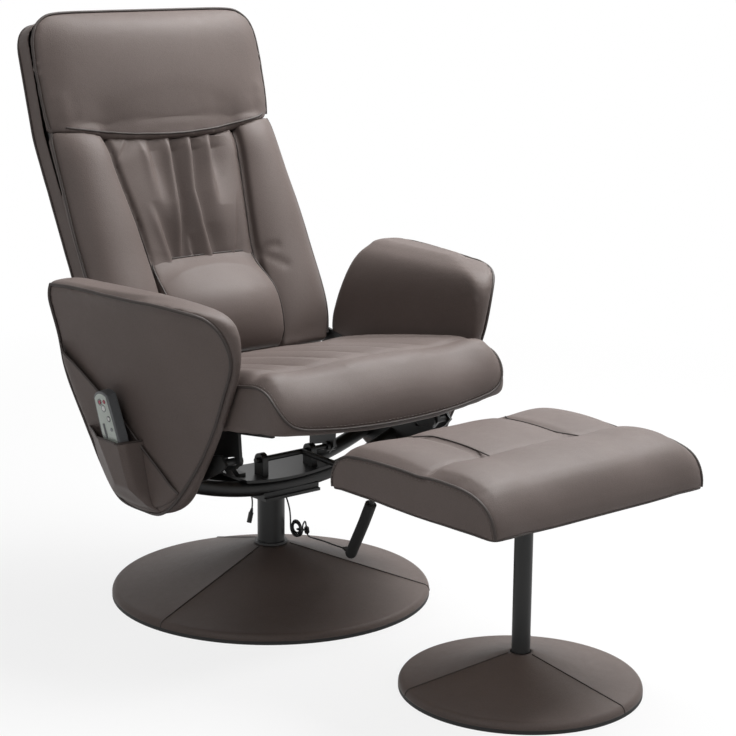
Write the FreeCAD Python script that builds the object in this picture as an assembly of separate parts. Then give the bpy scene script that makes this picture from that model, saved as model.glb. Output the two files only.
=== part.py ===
import FreeCAD, Part
import math
import os

V = FreeCAD.Vector
UP = V(0, 0, 1)
ACROSS = V(1, 0, 0)

# Millimetres. The chair faces -Y, its user's left is +X and the floor is Z = 0.
# The origin is on the floor, on the swivel axis.

# Chair base
BASE_RADIUS = 280.0
BASE_PLATE_THICKNESS = 8.0
RIM_WIDTH = 10.0
RIM_HEIGHT = 6.0
DOME_HEIGHT = 83.0
COVER_SHOULDER = 12.0
COVER_WALL = 3.0
COVER_BORE_GAP = 2.0
PEDESTAL_RADIUS = 24.0
PEDESTAL_WALL = 3.0
PEDESTAL_TOP = 183.0
COLLAR_WIDTH = 4.5
COLLAR_HEIGHT = 4.0
SPINDLE_RADIUS = 14.0
RUNNING_FIT = 0.05
BUSH_LENGTH = 30.0
BUSH_LOWER_FOOT = 40.0
BUSH_FLANGE = 3.0
AXIAL_PLAY = 0.1
CLIP_RADIUS = 18.0
CLIP_THICKNESS = 3.0

# Cradle that carries the seat, the arms and the back
HUB_PLATE_THICKNESS = 5.0
HUB_PLATE_HALF_LENGTH = 60.0
HUB_CHEEK_HEIGHT = 9.0
CRADLE_TUBE_RADIUS = 13.5
CRADLE_TUBE_WALL = 2.0
CRADLE_BEND = 625.0
CRADLE_FRONT_Y = -45.0
CRADLE_REAR_Y = 28.0
SADDLE_PLATE_HALF_LENGTH = 100.0
SADDLE_PLATE_THICKNESS = 5.0
CRADLE_MARGIN = 18.0
SIDE_FRAME_INNER = 240.0
SIDE_FRAME_THICKNESS = 5.0
BOSS_RADIUS = 13.0
BOLT_RADIUS = 4.0
BOLT_HEAD_RADIUS = 7.0
BOLT_HEAD_HEIGHT = 5.0
BRACKET_INNER = 249.5
BRACKET_THICKNESS = 5.0
ARM_BOARD_THICKNESS = 12.0
BOLT_BITE = 9.0

# Lock lever
LEVER_AXIS_Y = -30.0
LEVER_AXIS_Z = 252.0
LEVER_ROD_RADIUS = 5.0
LEVER_ARM_X = 45.0
LEVER_GRIP_WALL = 5.0
EAR_LENGTH = 12.0
EAR_MARGIN = 7.0
LOCK_PLATE_INNER = 105.0
LOCK_PLATE_THICKNESS = 5.0
LOCK_COLLAR_RADIUS = 9.0
LOCK_COLLAR_LENGTH = 7.0
SIDE_PLAY = 0.5

# Recline: the back turns about the pivot, and its link studs push the seat along its guides
RECLINE_ANGLE = 30.0
SLIDE_ANGLE = 15.0
SEAT_TRAVEL = 42.0
PIVOT_Y = 165.0
PIVOT_Z = 405.0
PIVOT_PIN_RADIUS = 6.0
LINK_STUD_RADIUS = 5.0
SLOT_PLAY = 0.6
HINGE_PLATE_INNER = 226.0
HINGE_PLATE_THICKNESS = 7.0
HINGE_PLATE_EDGE = 15.0
GUIDE_PIN_RADIUS = 6.0
GUIDE_Y = -185.0
GUIDE_Z = 312.0
SLOT_EDGE = 8.0

# Seat
SEAT_TILT = 7.0
SEAT_REF_Y = -195.0
SEAT_REF_Z = 362.0
SEAT_HALF_WIDTH = 247.0
SEAT_SKIRT = 14.0
SEAT_BOARD_DROP = 37.0
SEAT_BOARD_THICKNESS = 12.0
SEAT_BOARD_FRONT = -95.0
SEAT_BOARD_REAR = 300.0
SEAT_BOARD_GAP = 2.0
SEAT_CROWN = 8.0
SEAT_FRONT_Y = -325.0
SEAT_FRONT_Z = 385.0
SEAT_BOW = 27.0
SEAT_DIP = 14.0
SEAT_TOP_FRONT_Y = -282.0
SEAT_TOP_FRONT_Z = 455.0
SEAT_REAR_Y = 104.0
SEAT_TOP_REAR_Z = 396.0
SEAT_FRONT_ROLL = 18.0
RAIL_OUTER = 211.0
RAIL_THICKNESS = 6.0
RAIL_HEIGHT = 30.0
RAIL_FRONT = -80.0
CROSSBAR_RADIUS = 8.0
CROSSBAR_FRONT = -60.0
CROSSBAR_REAR = 235.0
MOTOR_RADIUS = 27.0
MOTOR_HEIGHT = 12.0
CONTROL_BOX_HALF_WIDTH = 70.0
CONTROL_BOX_LENGTH = 50.0
CONTROL_BOX_HEIGHT = 28.0

# Back
BACK_FOOT_Y = 120.0
BACK_FOOT_Z = 419.0
LOWER_LEAN = 27.1
UPPER_LEAN = 16.0
LOWER_LENGTH = 428.0
UPPER_LENGTH = 205.0
BACK_HALF_WIDTH = 245.0
BACK_FOOT_HALF_WIDTH = 236.0
HEAD_HALF_WIDTH = 238.0
PAD_BACKING = 22.0
BACK_DEPTH = 58.0
SHELL_WALL = 3.0
SHELL_HALF_WIDTH = 238.0
SHELL_CORNER = 40.0
BOLSTER_CROWN = 30.0
CHANNEL_RISE = 8.0
CHANNEL_SINK = 8.0
PAD_OVERHANG = 14.0
HEAD_SEAM_DROP = 35.0
CENTRE_TOP_HALF = 141.0
CENTRE_FOOT_HALF = 112.0
HEAD_CROWN = 32.0
LUMBAR_HEIGHT = 176.0
LUMBAR_CROWN = 20.0
LUMBAR_BASE = 26.0
BACK_TUBE_RADIUS = 9.0
BACK_TUBE_DEPTH = 35.0
BACK_TUBE_BEND = 50.0
BACK_FRAME_HEAD = 175.0
BACK_CROSSBAR_RADIUS = 7.0
SEAM_GAP = 0.5

# Arms: height, then front and rear ends, outer edge at front and rear, inner edge at front and rear
ARM_INNER = 249.0
ARM_STATIONS = [
    (205.0, -48.0, 8.0, 280.0, 283.0, 266.0, 266.0),
    (213.0, -78.0, 36.0, 285.0, 290.0, 256.0, 256.0),
    (235.0, -110.0, 62.0, 284.0, 293.0, ARM_INNER, ARM_INNER),
    (270.0, -137.0, 88.0, 279.0, 295.0, ARM_INNER, ARM_INNER),
    (320.0, -170.0, 114.0, 272.0, 301.0, ARM_INNER, ARM_INNER),
    (380.0, -203.0, 133.0, 270.0, 315.0, ARM_INNER, ARM_INNER),
    (435.0, -230.0, 137.0, 270.0, 331.0, ARM_INNER, ARM_INNER),
    (480.0, -246.0, 126.0, 271.0, 345.0, ARM_INNER, 252.0),
    (520.0, -246.0, 116.0, 280.0, 361.0, ARM_INNER, 262.0),
    (548.0, -238.0, 110.0, 294.0, 372.0, 253.0, 276.0),
    (566.0, -215.0, 103.0, 317.0, 378.0, 263.0, 291.0),
    (577.0, -170.0, 97.0, 337.0, 380.0, 282.0, 308.0),
    (585.0, -110.0, 80.0, 338.0, 366.0, 305.0, 326.0),
]
ARM_BOARD_OUTLINE = [(-88, 248), (42, 248), (80, 300), (98, 360), (98, 420), (-150, 420), (-132, 320)]

# Pockets on the right arm and the hand control in its pocket
POCKET_DEPTH = 9.0
POCKET_WALL = 2.5
POCKET_SEAM = 10.0
POCKET_LINE_Y = 140.0
POCKET_LINE_Z = 480.0
POCKET_FRONT_Y = -125.0
POCKET_FRONT_Z = 250.0
POCKET_MOUTH_FRONT = 45.0
REMOTE_LENGTH = 150.0
REMOTE_WIDTH = 48.0
REMOTE_THICKNESS = 20.0
REMOTE_Y = -3.0
REMOTE_Z = 337.0
REMOTE_BACK_X = 315.0
REMOTE_TILT = 13.0
REMOTE_LEAN = 7.0
REMOTE_FACE_THICKNESS = 1.6
REMOTE_FACE_INSET = 4.0
REMOTE_KEY_SPACE = 1.4
REMOTE_POCKET_DEPTH = 68.0
REMOTE_PLAY = 1.0
BUTTON_CLEARANCE = 0.3
BUTTON_PROUD = 1.0
BUTTON_SKIRT = 0.3
BUTTONS = {
    "button_heat": (4.0, 57.0, 3.2),
    "button_power": (-9.5, 57.0, 3.2),
    "button_mode": (-3.0, 46.0, 4.2),
    "button_speed": (-11.0, 28.0, 3.0),
    "button_timer": (-11.5, 10.0, 3.0),
}
POUCH_SKIN = 4.0
POUCH_OUTLINE = [(-28, 326), (-36, 290), (-66, 195), (150, 195), (150, 260), (97, 330)]

# Footstool
STOOL_X = 18.0
STOOL_Y = -606.0
STOOL_BASE_RADIUS = 189.0
STOOL_DOME_HEIGHT = 53.0
STOOL_POST_RADIUS = 14.5
STOOL_POST_WALL = 2.5
STOOL_UNDERSIDE = 314.0
STOOL_HALF_WIDTH = 222.0
STOOL_FRONT = -163.0
STOOL_REAR = 195.0
STOOL_TOP_FRONT = -112.0
STOOL_TOP_REAR = 158.0
STOOL_EDGE_HEIGHT = 60.0
STOOL_SEAM_Y = -2.0
STOOL_CROWN = 5.0
STOOL_BOARD_THICKNESS = 12.0
STOOL_BOARD_INSET = 26.0
SPIDER_HALF = 75.0
SPIDER_THICKNESS = 4.0

# Leads
LEAD_RADIUS = 1.4
COIL_PITCH = 3.4
COIL_RADIUS = 15.0
COIL_TURNS = 2
COIL_CENTRE = V(34, -27, 113.2)
CONNECTOR_RADIUS = 4.5
TIE_WALL = 1.0
TIE_HEIGHT = 3.0
TIE_PLAY = 0.4

# Values worked out from those above
HUB_BOTTOM = PEDESTAL_TOP + BUSH_FLANGE + AXIAL_PLAY
HUB_TOP = HUB_BOTTOM + HUB_PLATE_THICKNESS
CRADLE_LOW = HUB_TOP + CRADLE_TUBE_RADIUS
BOARD_INNER = BRACKET_INNER + BRACKET_THICKNESS
LINK_RADIUS = SEAT_TRAVEL / math.radians(RECLINE_ANGLE)
BEND_Y = BACK_FOOT_Y + LOWER_LENGTH * math.sin(math.radians(LOWER_LEAN))
BEND_Z = BACK_FOOT_Z + LOWER_LENGTH * math.cos(math.radians(LOWER_LEAN))
LUMBAR_TOP = LOWER_LENGTH - LUMBAR_HEIGHT


def box(low, high):
    size = high - low
    return Part.makeBox(size.x, size.y, size.z, low)


def rod(radius, start, end):
    return Part.makeCylinder(radius, (end - start).Length, start, end - start)


def ring(outer, inner, low, high):
    body = rod(outer, V(0, 0, low), V(0, 0, high))
    return body.cut(rod(inner, V(0, 0, low), V(0, 0, high)))


def outline(points, bulges, normal):
    """Closed wire of lines and arcs; a bulge is how far an arc stands out of its chord."""
    edges = []
    count = len(points)
    for index in range(count):
        start = points[index]
        end = points[(index + 1) % count]
        if bulges[index] == 0:
            edges.append(Part.LineSegment(start, end).toShape())
            continue
        out = (end - start).cross(normal)
        middle = (start + end) * 0.5 + out.normalize() * bulges[index]
        edges.append(Part.Arc(start, middle, end).toShape())
    return Part.Wire(edges)


def slab(points, low_x, high_x):
    """Flat plate with a straight-sided outline in Y and Z, thick along X."""
    corners = [V(low_x, y, z) for y, z in points]
    return Part.Face(Part.makePolygon(corners + corners[:1])).extrude(V(high_x - low_x, 0, 0))


def slot(start, end, radius, low_x, high_x):
    """Round-ended slot from one (y, z) point to another, cut along X."""
    first = rod(radius, V(low_x, *start), V(high_x, *start))
    last = rod(radius, V(low_x, *end), V(high_x, *end))
    along = V(0, end[0] - start[0], end[1] - start[1])
    side = along.cross(ACROSS).normalize() * radius
    corners = [V(low_x, *start) + side, V(low_x, *end) + side, V(low_x, *end) - side, V(low_x, *start) - side]
    middle = Part.Face(Part.makePolygon(corners + corners[:1])).extrude(V(high_x - low_x, 0, 0))
    return middle.fuse([first, last]).removeSplitter()


def both_sides(shape):
    return shape, shape.mirror(V(0, 0, 0), ACROSS)


def group(shapes):
    return Part.makeCompound(list(shapes))


def bent_path(points, radii):
    """Wire of straight runs joined by tangent arcs of the given radii."""
    edges = []
    start = points[0]
    for index in range(1, len(points) - 1):
        corner = points[index]
        back = (points[index - 1] - corner).normalize()
        ahead = (points[index + 1] - corner).normalize()
        half = back.getAngle(ahead) / 2
        reach = radii[index - 1] / math.tan(half)
        middle = (back + ahead).normalize()
        touch_in = corner + back * reach
        touch_out = corner + ahead * reach
        centre = corner + middle * (radii[index - 1] / math.sin(half))
        if (touch_in - start).Length > 1e-6:
            edges.append(Part.LineSegment(start, touch_in).toShape())
        edges.append(Part.Arc(touch_in, centre - middle * radii[index - 1], touch_out).toShape())
        start = touch_out
    edges.append(Part.LineSegment(start, points[-1]).toShape())
    return Part.Wire(edges)


def swept(path, radius):
    start = path.OrderedEdges[0]
    point = start.valueAt(start.FirstParameter)
    along = start.tangentAt(start.FirstParameter)
    section = Part.Wire(Part.makeCircle(radius, point, along))
    return path.makePipeShell([section], True)


def cover_curve(radius, height, bore, shoulder):
    """Half of a cone's outline: a round shoulder at the rim, then a straight flank up to the bore."""
    centre = V(radius - shoulder, 0, RIM_HEIGHT)
    top = V(bore, 0, RIM_HEIGHT + height)
    reach = top - centre
    turn = math.atan2(reach.z, reach.x) - math.acos(shoulder / reach.Length)
    middle = centre + V(math.cos(turn / 2), 0, math.sin(turn / 2)) * shoulder
    touch = centre + V(math.cos(turn), 0, math.sin(turn)) * shoulder
    arc = Part.Arc(V(radius, 0, RIM_HEIGHT), middle, touch).toShape()
    return [arc, Part.LineSegment(touch, top).toShape()]


def pedestal_base(radius, dome_height, plate_thickness, post_radius):
    """Plate, rubber rim and hollow dome cover, centred on the origin."""
    plate_radius = radius - RIM_WIDTH
    plate = rod(plate_radius, V(0, 0, 0), V(0, 0, plate_thickness))
    rim = ring(radius, plate_radius, 0, RIM_HEIGHT)
    bore = post_radius + COVER_BORE_GAP
    outer = cover_curve(radius, dome_height, bore, COVER_SHOULDER)
    inner = cover_curve(radius - COVER_WALL, dome_height - COVER_WALL, bore, COVER_SHOULDER - COVER_WALL)
    hem = Part.LineSegment(V(radius, 0, RIM_HEIGHT), V(radius - COVER_WALL, 0, RIM_HEIGHT)).toShape()
    top = RIM_HEIGHT + dome_height
    lip = Part.LineSegment(V(bore, 0, top), V(bore, 0, top - COVER_WALL)).toShape()
    profile = Part.Wire(Part.sortEdges(outer + inner + [hem, lip])[0])
    cover = Part.Face(profile).revolve(V(0, 0, 0), UP, 360)
    return plate, rim, cover


def chair_base():
    plate, rim, cover = pedestal_base(BASE_RADIUS, DOME_HEIGHT, BASE_PLATE_THICKNESS, PEDESTAL_RADIUS)
    tube = ring(PEDESTAL_RADIUS, PEDESTAL_RADIUS - PEDESTAL_WALL, BASE_PLATE_THICKNESS, PEDESTAL_TOP)
    collar_radius = PEDESTAL_RADIUS + COLLAR_WIDTH
    collar_foot = RIM_HEIGHT + DOME_HEIGHT
    collar = ring(collar_radius, PEDESTAL_RADIUS, collar_foot, collar_foot + COLLAR_HEIGHT)
    bush_bore = SPINDLE_RADIUS + RUNNING_FIT
    bush_radius = PEDESTAL_RADIUS - PEDESTAL_WALL
    lower_bush = ring(bush_radius, bush_bore, BUSH_LOWER_FOOT, BUSH_LOWER_FOOT + BUSH_LENGTH)
    upper_bush = ring(bush_radius, bush_bore, PEDESTAL_TOP - BUSH_LENGTH, PEDESTAL_TOP)
    flange = ring(PEDESTAL_RADIUS, bush_bore, PEDESTAL_TOP, PEDESTAL_TOP + BUSH_FLANGE)
    return {
        "base_plate": plate,
        "base_rim": rim,
        "base_cover": cover,
        "pedestal_tube": tube,
        "pedestal_collar": collar,
        "swivel_bushes": group([lower_bush, upper_bush.fuse(flange).removeSplitter()]),
    }


def cradle_tube(radius, y):
    """Tube bent to one long arc, cut upright where the side frames are welded on."""
    centre = V(0, y, CRADLE_LOW + CRADLE_BEND)
    reach = math.degrees(math.asin((SIDE_FRAME_INNER + CRADLE_TUBE_RADIUS * 2) / CRADLE_BEND))
    section = Part.Face(Part.Wire(Part.makeCircle(radius, V(0, y, CRADLE_LOW), ACROSS)))
    section.rotate(centre, V(0, 1, 0), reach)
    bent = section.revolve(centre, V(0, 1, 0), -2 * reach)
    room = CRADLE_BEND
    return bent.common(box(V(-SIDE_FRAME_INNER, y - room, 0), V(SIDE_FRAME_INNER, y + room, room)))


def cradle_rise(x, offset):
    """Height of the arc that runs the given distance above the bent tubes' centre line."""
    radius = CRADLE_BEND - offset
    return CRADLE_LOW + CRADLE_BEND - math.sqrt(radius ** 2 - x ** 2)


def hub():
    low_y = CRADLE_FRONT_Y - CRADLE_MARGIN
    high_y = CRADLE_REAR_Y + CRADLE_MARGIN
    spindle = rod(SPINDLE_RADIUS, V(0, 0, BUSH_LOWER_FOOT - CLIP_THICKNESS * 2), V(0, 0, HUB_BOTTOM))
    clip_top = BUSH_LOWER_FOOT - AXIAL_PLAY
    clip = ring(CLIP_RADIUS, SPINDLE_RADIUS, clip_top - CLIP_THICKNESS, clip_top)
    half = HUB_PLATE_HALF_LENGTH
    saddle = box(V(-half, low_y, HUB_BOTTOM), V(half, high_y, HUB_TOP))
    tubes = {}
    for name, y in (("cradle_tube_front", CRADLE_FRONT_Y), ("cradle_tube_rear", CRADLE_REAR_Y)):
        outer = cradle_tube(CRADLE_TUBE_RADIUS, y)
        tubes[name] = outer.cut(cradle_tube(CRADLE_TUBE_RADIUS - CRADLE_TUBE_WALL, y))
        reach = CRADLE_TUBE_RADIUS
        cheek = box(V(-half, y - reach, HUB_TOP), V(half, y + reach, HUB_TOP + HUB_CHEEK_HEIGHT))
        saddle = saddle.fuse(cheek.cut(outer))
    plate_low = CRADLE_TUBE_RADIUS
    plate_high = CRADLE_TUBE_RADIUS + SADDLE_PLATE_THICKNESS
    end = SADDLE_PLATE_HALF_LENGTH
    corners = [(-end, plate_low), (end, plate_low), (end, plate_high), (-end, plate_high)]
    low_left, low_right, high_right, high_left = [V(x, low_y, cradle_rise(x, above)) for x, above in corners]
    low_arc = Part.Arc(low_left, V(0, low_y, cradle_rise(0, plate_low)), low_right).toShape()
    high_arc = Part.Arc(high_right, V(0, low_y, cradle_rise(0, plate_high)), high_left).toShape()
    sides = [Part.LineSegment(low_right, high_right).toShape(), Part.LineSegment(high_left, low_left).toShape()]
    strip = Part.Face(Part.Wire([low_arc, sides[0], high_arc, sides[1]]))
    pieces = {
        "swivel_spindle": spindle,
        "spindle_clip": clip,
        "hub_saddle": saddle.removeSplitter(),
        "saddle_plate": strip.extrude(V(0, high_y - low_y, 0)),
    }
    pieces.update(tubes)
    return pieces


def lever_bearings(saddle_plate):
    """Two ears on the saddle plate with the bores that the lever rod turns in."""
    ears = []
    half = LEVER_ROD_RADIUS + EAR_MARGIN
    plate_high = CRADLE_TUBE_RADIUS + SADDLE_PLATE_THICKNESS
    for start in (-SADDLE_PLATE_HALF_LENGTH / 2, LEVER_ARM_X + EAR_LENGTH):
        foot = cradle_rise(max(abs(start), abs(start + EAR_LENGTH)), plate_high)
        low = V(start, LEVER_AXIS_Y - half, foot - SADDLE_PLATE_THICKNESS)
        ear = box(low, V(start + EAR_LENGTH, LEVER_AXIS_Y + half, LEVER_AXIS_Z)).cut(saddle_plate)
        ear = max(ear.Solids, key=lambda solid: solid.CenterOfMass.z)
        start_point = V(start, LEVER_AXIS_Y, LEVER_AXIS_Z)
        ear = ear.fuse(rod(half, start_point, start_point + ACROSS * EAR_LENGTH))
        bore = rod(LEVER_ROD_RADIUS + RUNNING_FIT, start_point, start_point + ACROSS * EAR_LENGTH)
        ears.append(ear.cut(bore).removeSplitter())
    return ears


def lock_lever():
    low_x = -SADDLE_PLATE_HALF_LENGTH / 2 - EAR_MARGIN
    plate_out = LOCK_PLATE_INNER + LOCK_PLATE_THICKNESS
    high_x = plate_out + SIDE_PLAY + LOCK_COLLAR_LENGTH
    axis = V(0, LEVER_AXIS_Y, LEVER_AXIS_Z)
    shaft = rod(LEVER_ROD_RADIUS, axis + ACROSS * low_x, axis + ACROSS * high_x)
    inner_collar = LOCK_PLATE_INNER - SIDE_PLAY - LOCK_COLLAR_LENGTH
    for start in (inner_collar, plate_out + SIDE_PLAY):
        at = axis + ACROSS * start
        shaft = shaft.fuse(rod(LOCK_COLLAR_RADIUS, at, at + ACROSS * LOCK_COLLAR_LENGTH))
    knee = V(LEVER_ARM_X, -238, 244)
    bend = V(LEVER_ARM_X, -199, 163)
    tip = V(LEVER_ARM_X, -168, 105)
    arm = swept(bent_path([V(LEVER_ARM_X, LEVER_AXIS_Y, LEVER_AXIS_Z), knee, bend, tip], [22, 60]), LEVER_ROD_RADIUS)
    shaft = shaft.fuse(arm).removeSplitter()
    grip_top = knee + (bend - knee) * 0.55
    grip_end = tip + (tip - bend).normalize() * LEVER_GRIP_WALL
    grip_radius = LEVER_ROD_RADIUS + LEVER_GRIP_WALL
    grip = swept(bent_path([grip_top, bend, grip_end], [60]), grip_radius)
    grip = grip.fuse(Part.makeSphere(grip_radius, grip_end)).removeSplitter()
    return {"lever_rod": shaft, "lever_grip": grip.cut(arm)}


def slide_point(start, distance):
    """Where a (y, z) point of the seat goes when the seat slides forward and up."""
    angle = math.radians(SLIDE_ANGLE)
    return start[0] - distance * math.cos(angle), start[1] + distance * math.sin(angle)


def seat_point(rearward, rise):
    """(y, z) of a point given along the tilted seat and square to it."""
    tilt = math.radians(SEAT_TILT)
    y = SEAT_REF_Y + rearward * math.cos(tilt) + rise * math.sin(tilt)
    return y, SEAT_REF_Z - rearward * math.sin(tilt) + rise * math.cos(tilt)


def seat_slab(front, rear, low, high, low_x, high_x):
    corners = [seat_point(front, low), seat_point(rear, low), seat_point(rear, high), seat_point(front, high)]
    return slab(corners, low_x, high_x)


def side_frame():
    """Left side frame: a plate from the cradle tubes to the seat guide, with bosses to the arm board."""
    high_x = SIDE_FRAME_INNER + SIDE_FRAME_THICKNESS
    rear = CRADLE_REAR_Y + CRADLE_MARGIN
    lift = cradle_rise(SIDE_FRAME_INNER, 0)
    foot = lift - CRADLE_MARGIN
    guide_edge = GUIDE_PIN_RADIUS + SLOT_EDGE
    corners = [(rear, foot), (rear, lift + CRADLE_MARGIN), (GUIDE_Y, GUIDE_Z + guide_edge)]
    corners += [(GUIDE_Y - guide_edge, GUIDE_Z), (GUIDE_Y, GUIDE_Z - guide_edge), (CRADLE_FRONT_Y - CRADLE_MARGIN, foot)]
    plate = slab(corners, SIDE_FRAME_INNER, high_x)
    holes = []
    for y, z in arm_bolt_places():
        at = V(SIDE_FRAME_INNER, y, z)
        plate = plate.fuse(rod(BOSS_RADIUS, V(high_x, y, z), V(BOARD_INNER, y, z)))
        holes.append(rod(BOLT_RADIUS, at, at + ACROSS * (BOARD_INNER - SIDE_FRAME_INNER)))
    guide = V(0, GUIDE_Y, GUIDE_Z)
    holes.append(rod(GUIDE_PIN_RADIUS, guide + ACROSS * SIDE_FRAME_INNER, guide + ACROSS * high_x))
    return plate.cut(holes).removeSplitter()


def arm_bolt_places():
    lift = cradle_rise(SIDE_FRAME_INNER, 0) + CRADLE_TUBE_RADIUS
    return [(CRADLE_REAR_Y - CRADLE_MARGIN, lift + 2), (CRADLE_FRONT_Y, lift + 14), (CRADLE_FRONT_Y - 50, lift + 28)]


def bracket_bolt_places():
    return [(30.0, 385.0), (70.0, 385.0)]


def bracket_slab(low_x):
    edge = PIVOT_PIN_RADIUS + SLOT_EDGE + 2
    corners = [(15, 368), (88, 368), (PIVOT_Y, PIVOT_Z - edge), (PIVOT_Y + edge, PIVOT_Z)]
    corners += [(PIVOT_Y, PIVOT_Z + edge), (80, 404), (15, 404)]
    return slab(corners, low_x, BOARD_INNER)


def back_bracket():
    """Left bracket: bolted to the arm board, it carries the back's pivot pin."""
    plate = bracket_slab(BRACKET_INNER)
    pivot = V(BRACKET_INNER, PIVOT_Y, PIVOT_Z)
    holes = [rod(PIVOT_PIN_RADIUS, pivot, pivot + ACROSS * BRACKET_THICKNESS)]
    for y, z in bracket_bolt_places():
        holes.append(rod(BOLT_RADIUS, V(BRACKET_INNER, y, z), V(BOARD_INNER, y, z)))
    return plate.cut(holes)


def pivot_pin():
    """Left pivot pin, with a shoulder that spaces the hinge plate from its bracket."""
    at = V(0, PIVOT_Y, PIVOT_Z)
    plate_out = HINGE_PLATE_INNER + HINGE_PLATE_THICKNESS
    pin = rod(PIVOT_PIN_RADIUS, at + ACROSS * (HINGE_PLATE_INNER - SIDE_PLAY), at + ACROSS * BOARD_INNER)
    shoulder = rod(PIVOT_PIN_RADIUS + 3, at + ACROSS * (plate_out + SIDE_PLAY), at + ACROSS * BRACKET_INNER)
    return pin.fuse(shoulder).removeSplitter()


def frame_bolt(y, z, head_at, tip_at):
    head = rod(BOLT_HEAD_RADIUS, V(head_at - BOLT_HEAD_HEIGHT, y, z), V(head_at, y, z))
    return head.fuse(rod(BOLT_RADIUS, V(head_at, y, z), V(tip_at, y, z))).removeSplitter()


def guide_pin():
    """Left shoulder bolt that the seat hanger slides on."""
    at = V(0, GUIDE_Y, GUIDE_Z)
    pin = rod(GUIDE_PIN_RADIUS, at + ACROSS * (RAIL_OUTER - SIDE_PLAY), at + ACROSS * (SIDE_FRAME_INNER + SIDE_FRAME_THICKNESS))
    head_end = RAIL_OUTER - SIDE_PLAY
    head = rod(GUIDE_PIN_RADIUS + 4, at + ACROSS * (head_end - 4), at + ACROSS * head_end)
    return pin.fuse(head).removeSplitter()


def arm_board():
    board = slab(ARM_BOARD_OUTLINE, BOARD_INNER, BOARD_INNER + ARM_BOARD_THICKNESS)
    holes = []
    for y, z in arm_bolt_places() + bracket_bolt_places():
        holes.append(rod(BOLT_RADIUS, V(BOARD_INNER, y, z), V(BOARD_INNER + BOLT_BITE, y, z)))
    return board.cut(holes)


def arm_form(proud):
    """Left arm's padded form; proud moves its outer face out."""
    sections = []
    for height, front, rear, outer_front, outer_rear, inner_front, inner_rear in ARM_STATIONS:
        corners = [V(inner_front, front, height), V(outer_front + proud, front, height)]
        corners += [V(outer_rear + proud, rear, height), V(inner_rear, rear, height)]
        nose = (outer_front - inner_front) * 0.35
        tail = (outer_rear - inner_rear) * 0.2
        sections.append(outline(corners, [nose, 6, tail, 0], UP))
    return Part.makeLoft(sections, True, False)


def right(shape):
    return shape.mirror(V(0, 0, 0), ACROSS)


def arms():
    frame = side_frame()
    bracket = back_bracket()
    board = arm_board()
    cuts = [board, bracket_slab(0)]
    for y, z in arm_bolt_places():
        cuts.append(rod(BOSS_RADIUS, V(0, y, z), V(BOARD_INNER, y, z)))
    for y, z in arm_bolt_places() + bracket_bolt_places():
        cuts.append(rod(BOLT_RADIUS, V(BOARD_INNER, y, z), V(BOARD_INNER + BOLT_BITE, y, z)))
    pad = arm_form(0).cut(cuts)
    bolts = []
    for y, z in arm_bolt_places():
        bolts += both_sides(frame_bolt(y, z, SIDE_FRAME_INNER, BOARD_INNER + BOLT_BITE))
    for y, z in bracket_bolt_places():
        bolts += both_sides(bracket_bolt(y, z))
    bolts += both_sides(guide_pin())
    return {
        "side_frames": group(both_sides(frame)),
        "back_brackets": group(both_sides(bracket)),
        "pivot_pins": group(both_sides(pivot_pin())),
        "arm_boards": group(both_sides(board)),
        "frame_bolts": group(bolts),
        "arm_left": pad,
        "arm_right": right(pad),
    }


def bracket_bolt(y, z):
    """Flush screw of the back bracket."""
    return rod(BOLT_RADIUS, V(BRACKET_INNER, y, z), V(BOARD_INNER + BOLT_BITE, y, z))


def magazine_pocket():
    """Sewn panel over the lower rear of the right arm, open along the rear of its slanted top."""
    deep = POCKET_DEPTH + POCKET_WALL
    far = ARM_INNER + 200
    low = ARM_STATIONS[0][0] - deep
    region = [(POCKET_LINE_Y + deep, POCKET_LINE_Z + deep), (POCKET_FRONT_Y, POCKET_FRONT_Z)]
    region += [(POCKET_FRONT_Y, low), (POCKET_LINE_Y + deep, low)]
    body = arm_form(deep).common(slab(region, ARM_INNER, far)).cut(arm_form(0))
    slope = (POCKET_LINE_Z - POCKET_FRONT_Z) / (POCKET_LINE_Y - POCKET_FRONT_Y)
    rear = POCKET_LINE_Y - POCKET_SEAM * 2
    front = POCKET_MOUTH_FRONT
    foot = POCKET_FRONT_Z + POCKET_SEAM * 3
    rear_top = POCKET_LINE_Z + slope * (rear - POCKET_LINE_Y) + deep * 2
    front_top = POCKET_LINE_Z + slope * (front - POCKET_LINE_Y) + deep * 2
    hollow = slab([(front, foot), (rear, foot), (rear, rear_top), (front, front_top)], ARM_INNER, far)
    panel = body.cut(arm_form(POCKET_DEPTH).common(hollow))
    return right(max(panel.Solids, key=lambda solid: solid.Volume))


def place_remote(shape):
    """Moves a piece drawn about the hand control's centre, face to -X, to its place on the right arm."""
    shape = shape.copy()
    shape.rotate(V(0, 0, 0), ACROSS, -REMOTE_TILT)
    shape.rotate(V(0, 0, 0), V(0, 1, 0), -REMOTE_LEAN)
    shape.translate(V(-REMOTE_BACK_X - REMOTE_THICKNESS / 2, REMOTE_Y, REMOTE_Z))
    return shape


def remote_outline(inset, x):
    half_length = REMOTE_LENGTH / 2 - inset
    half_width = REMOTE_WIDTH / 2 - inset
    shoulder = half_length - half_width * 0.35
    points = [V(x, -half_width, -shoulder), V(x, half_width, -shoulder)]
    points += [V(x, half_width * 0.86, shoulder), V(x, -half_width * 0.86, shoulder)]
    end = half_length - shoulder
    return outline(points, [end, 2, end, 2], ACROSS)


def remote_block(inset, low_x, high_x):
    return Part.Face(remote_outline(inset, low_x)).extrude(V(high_x - low_x, 0, 0))


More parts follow.
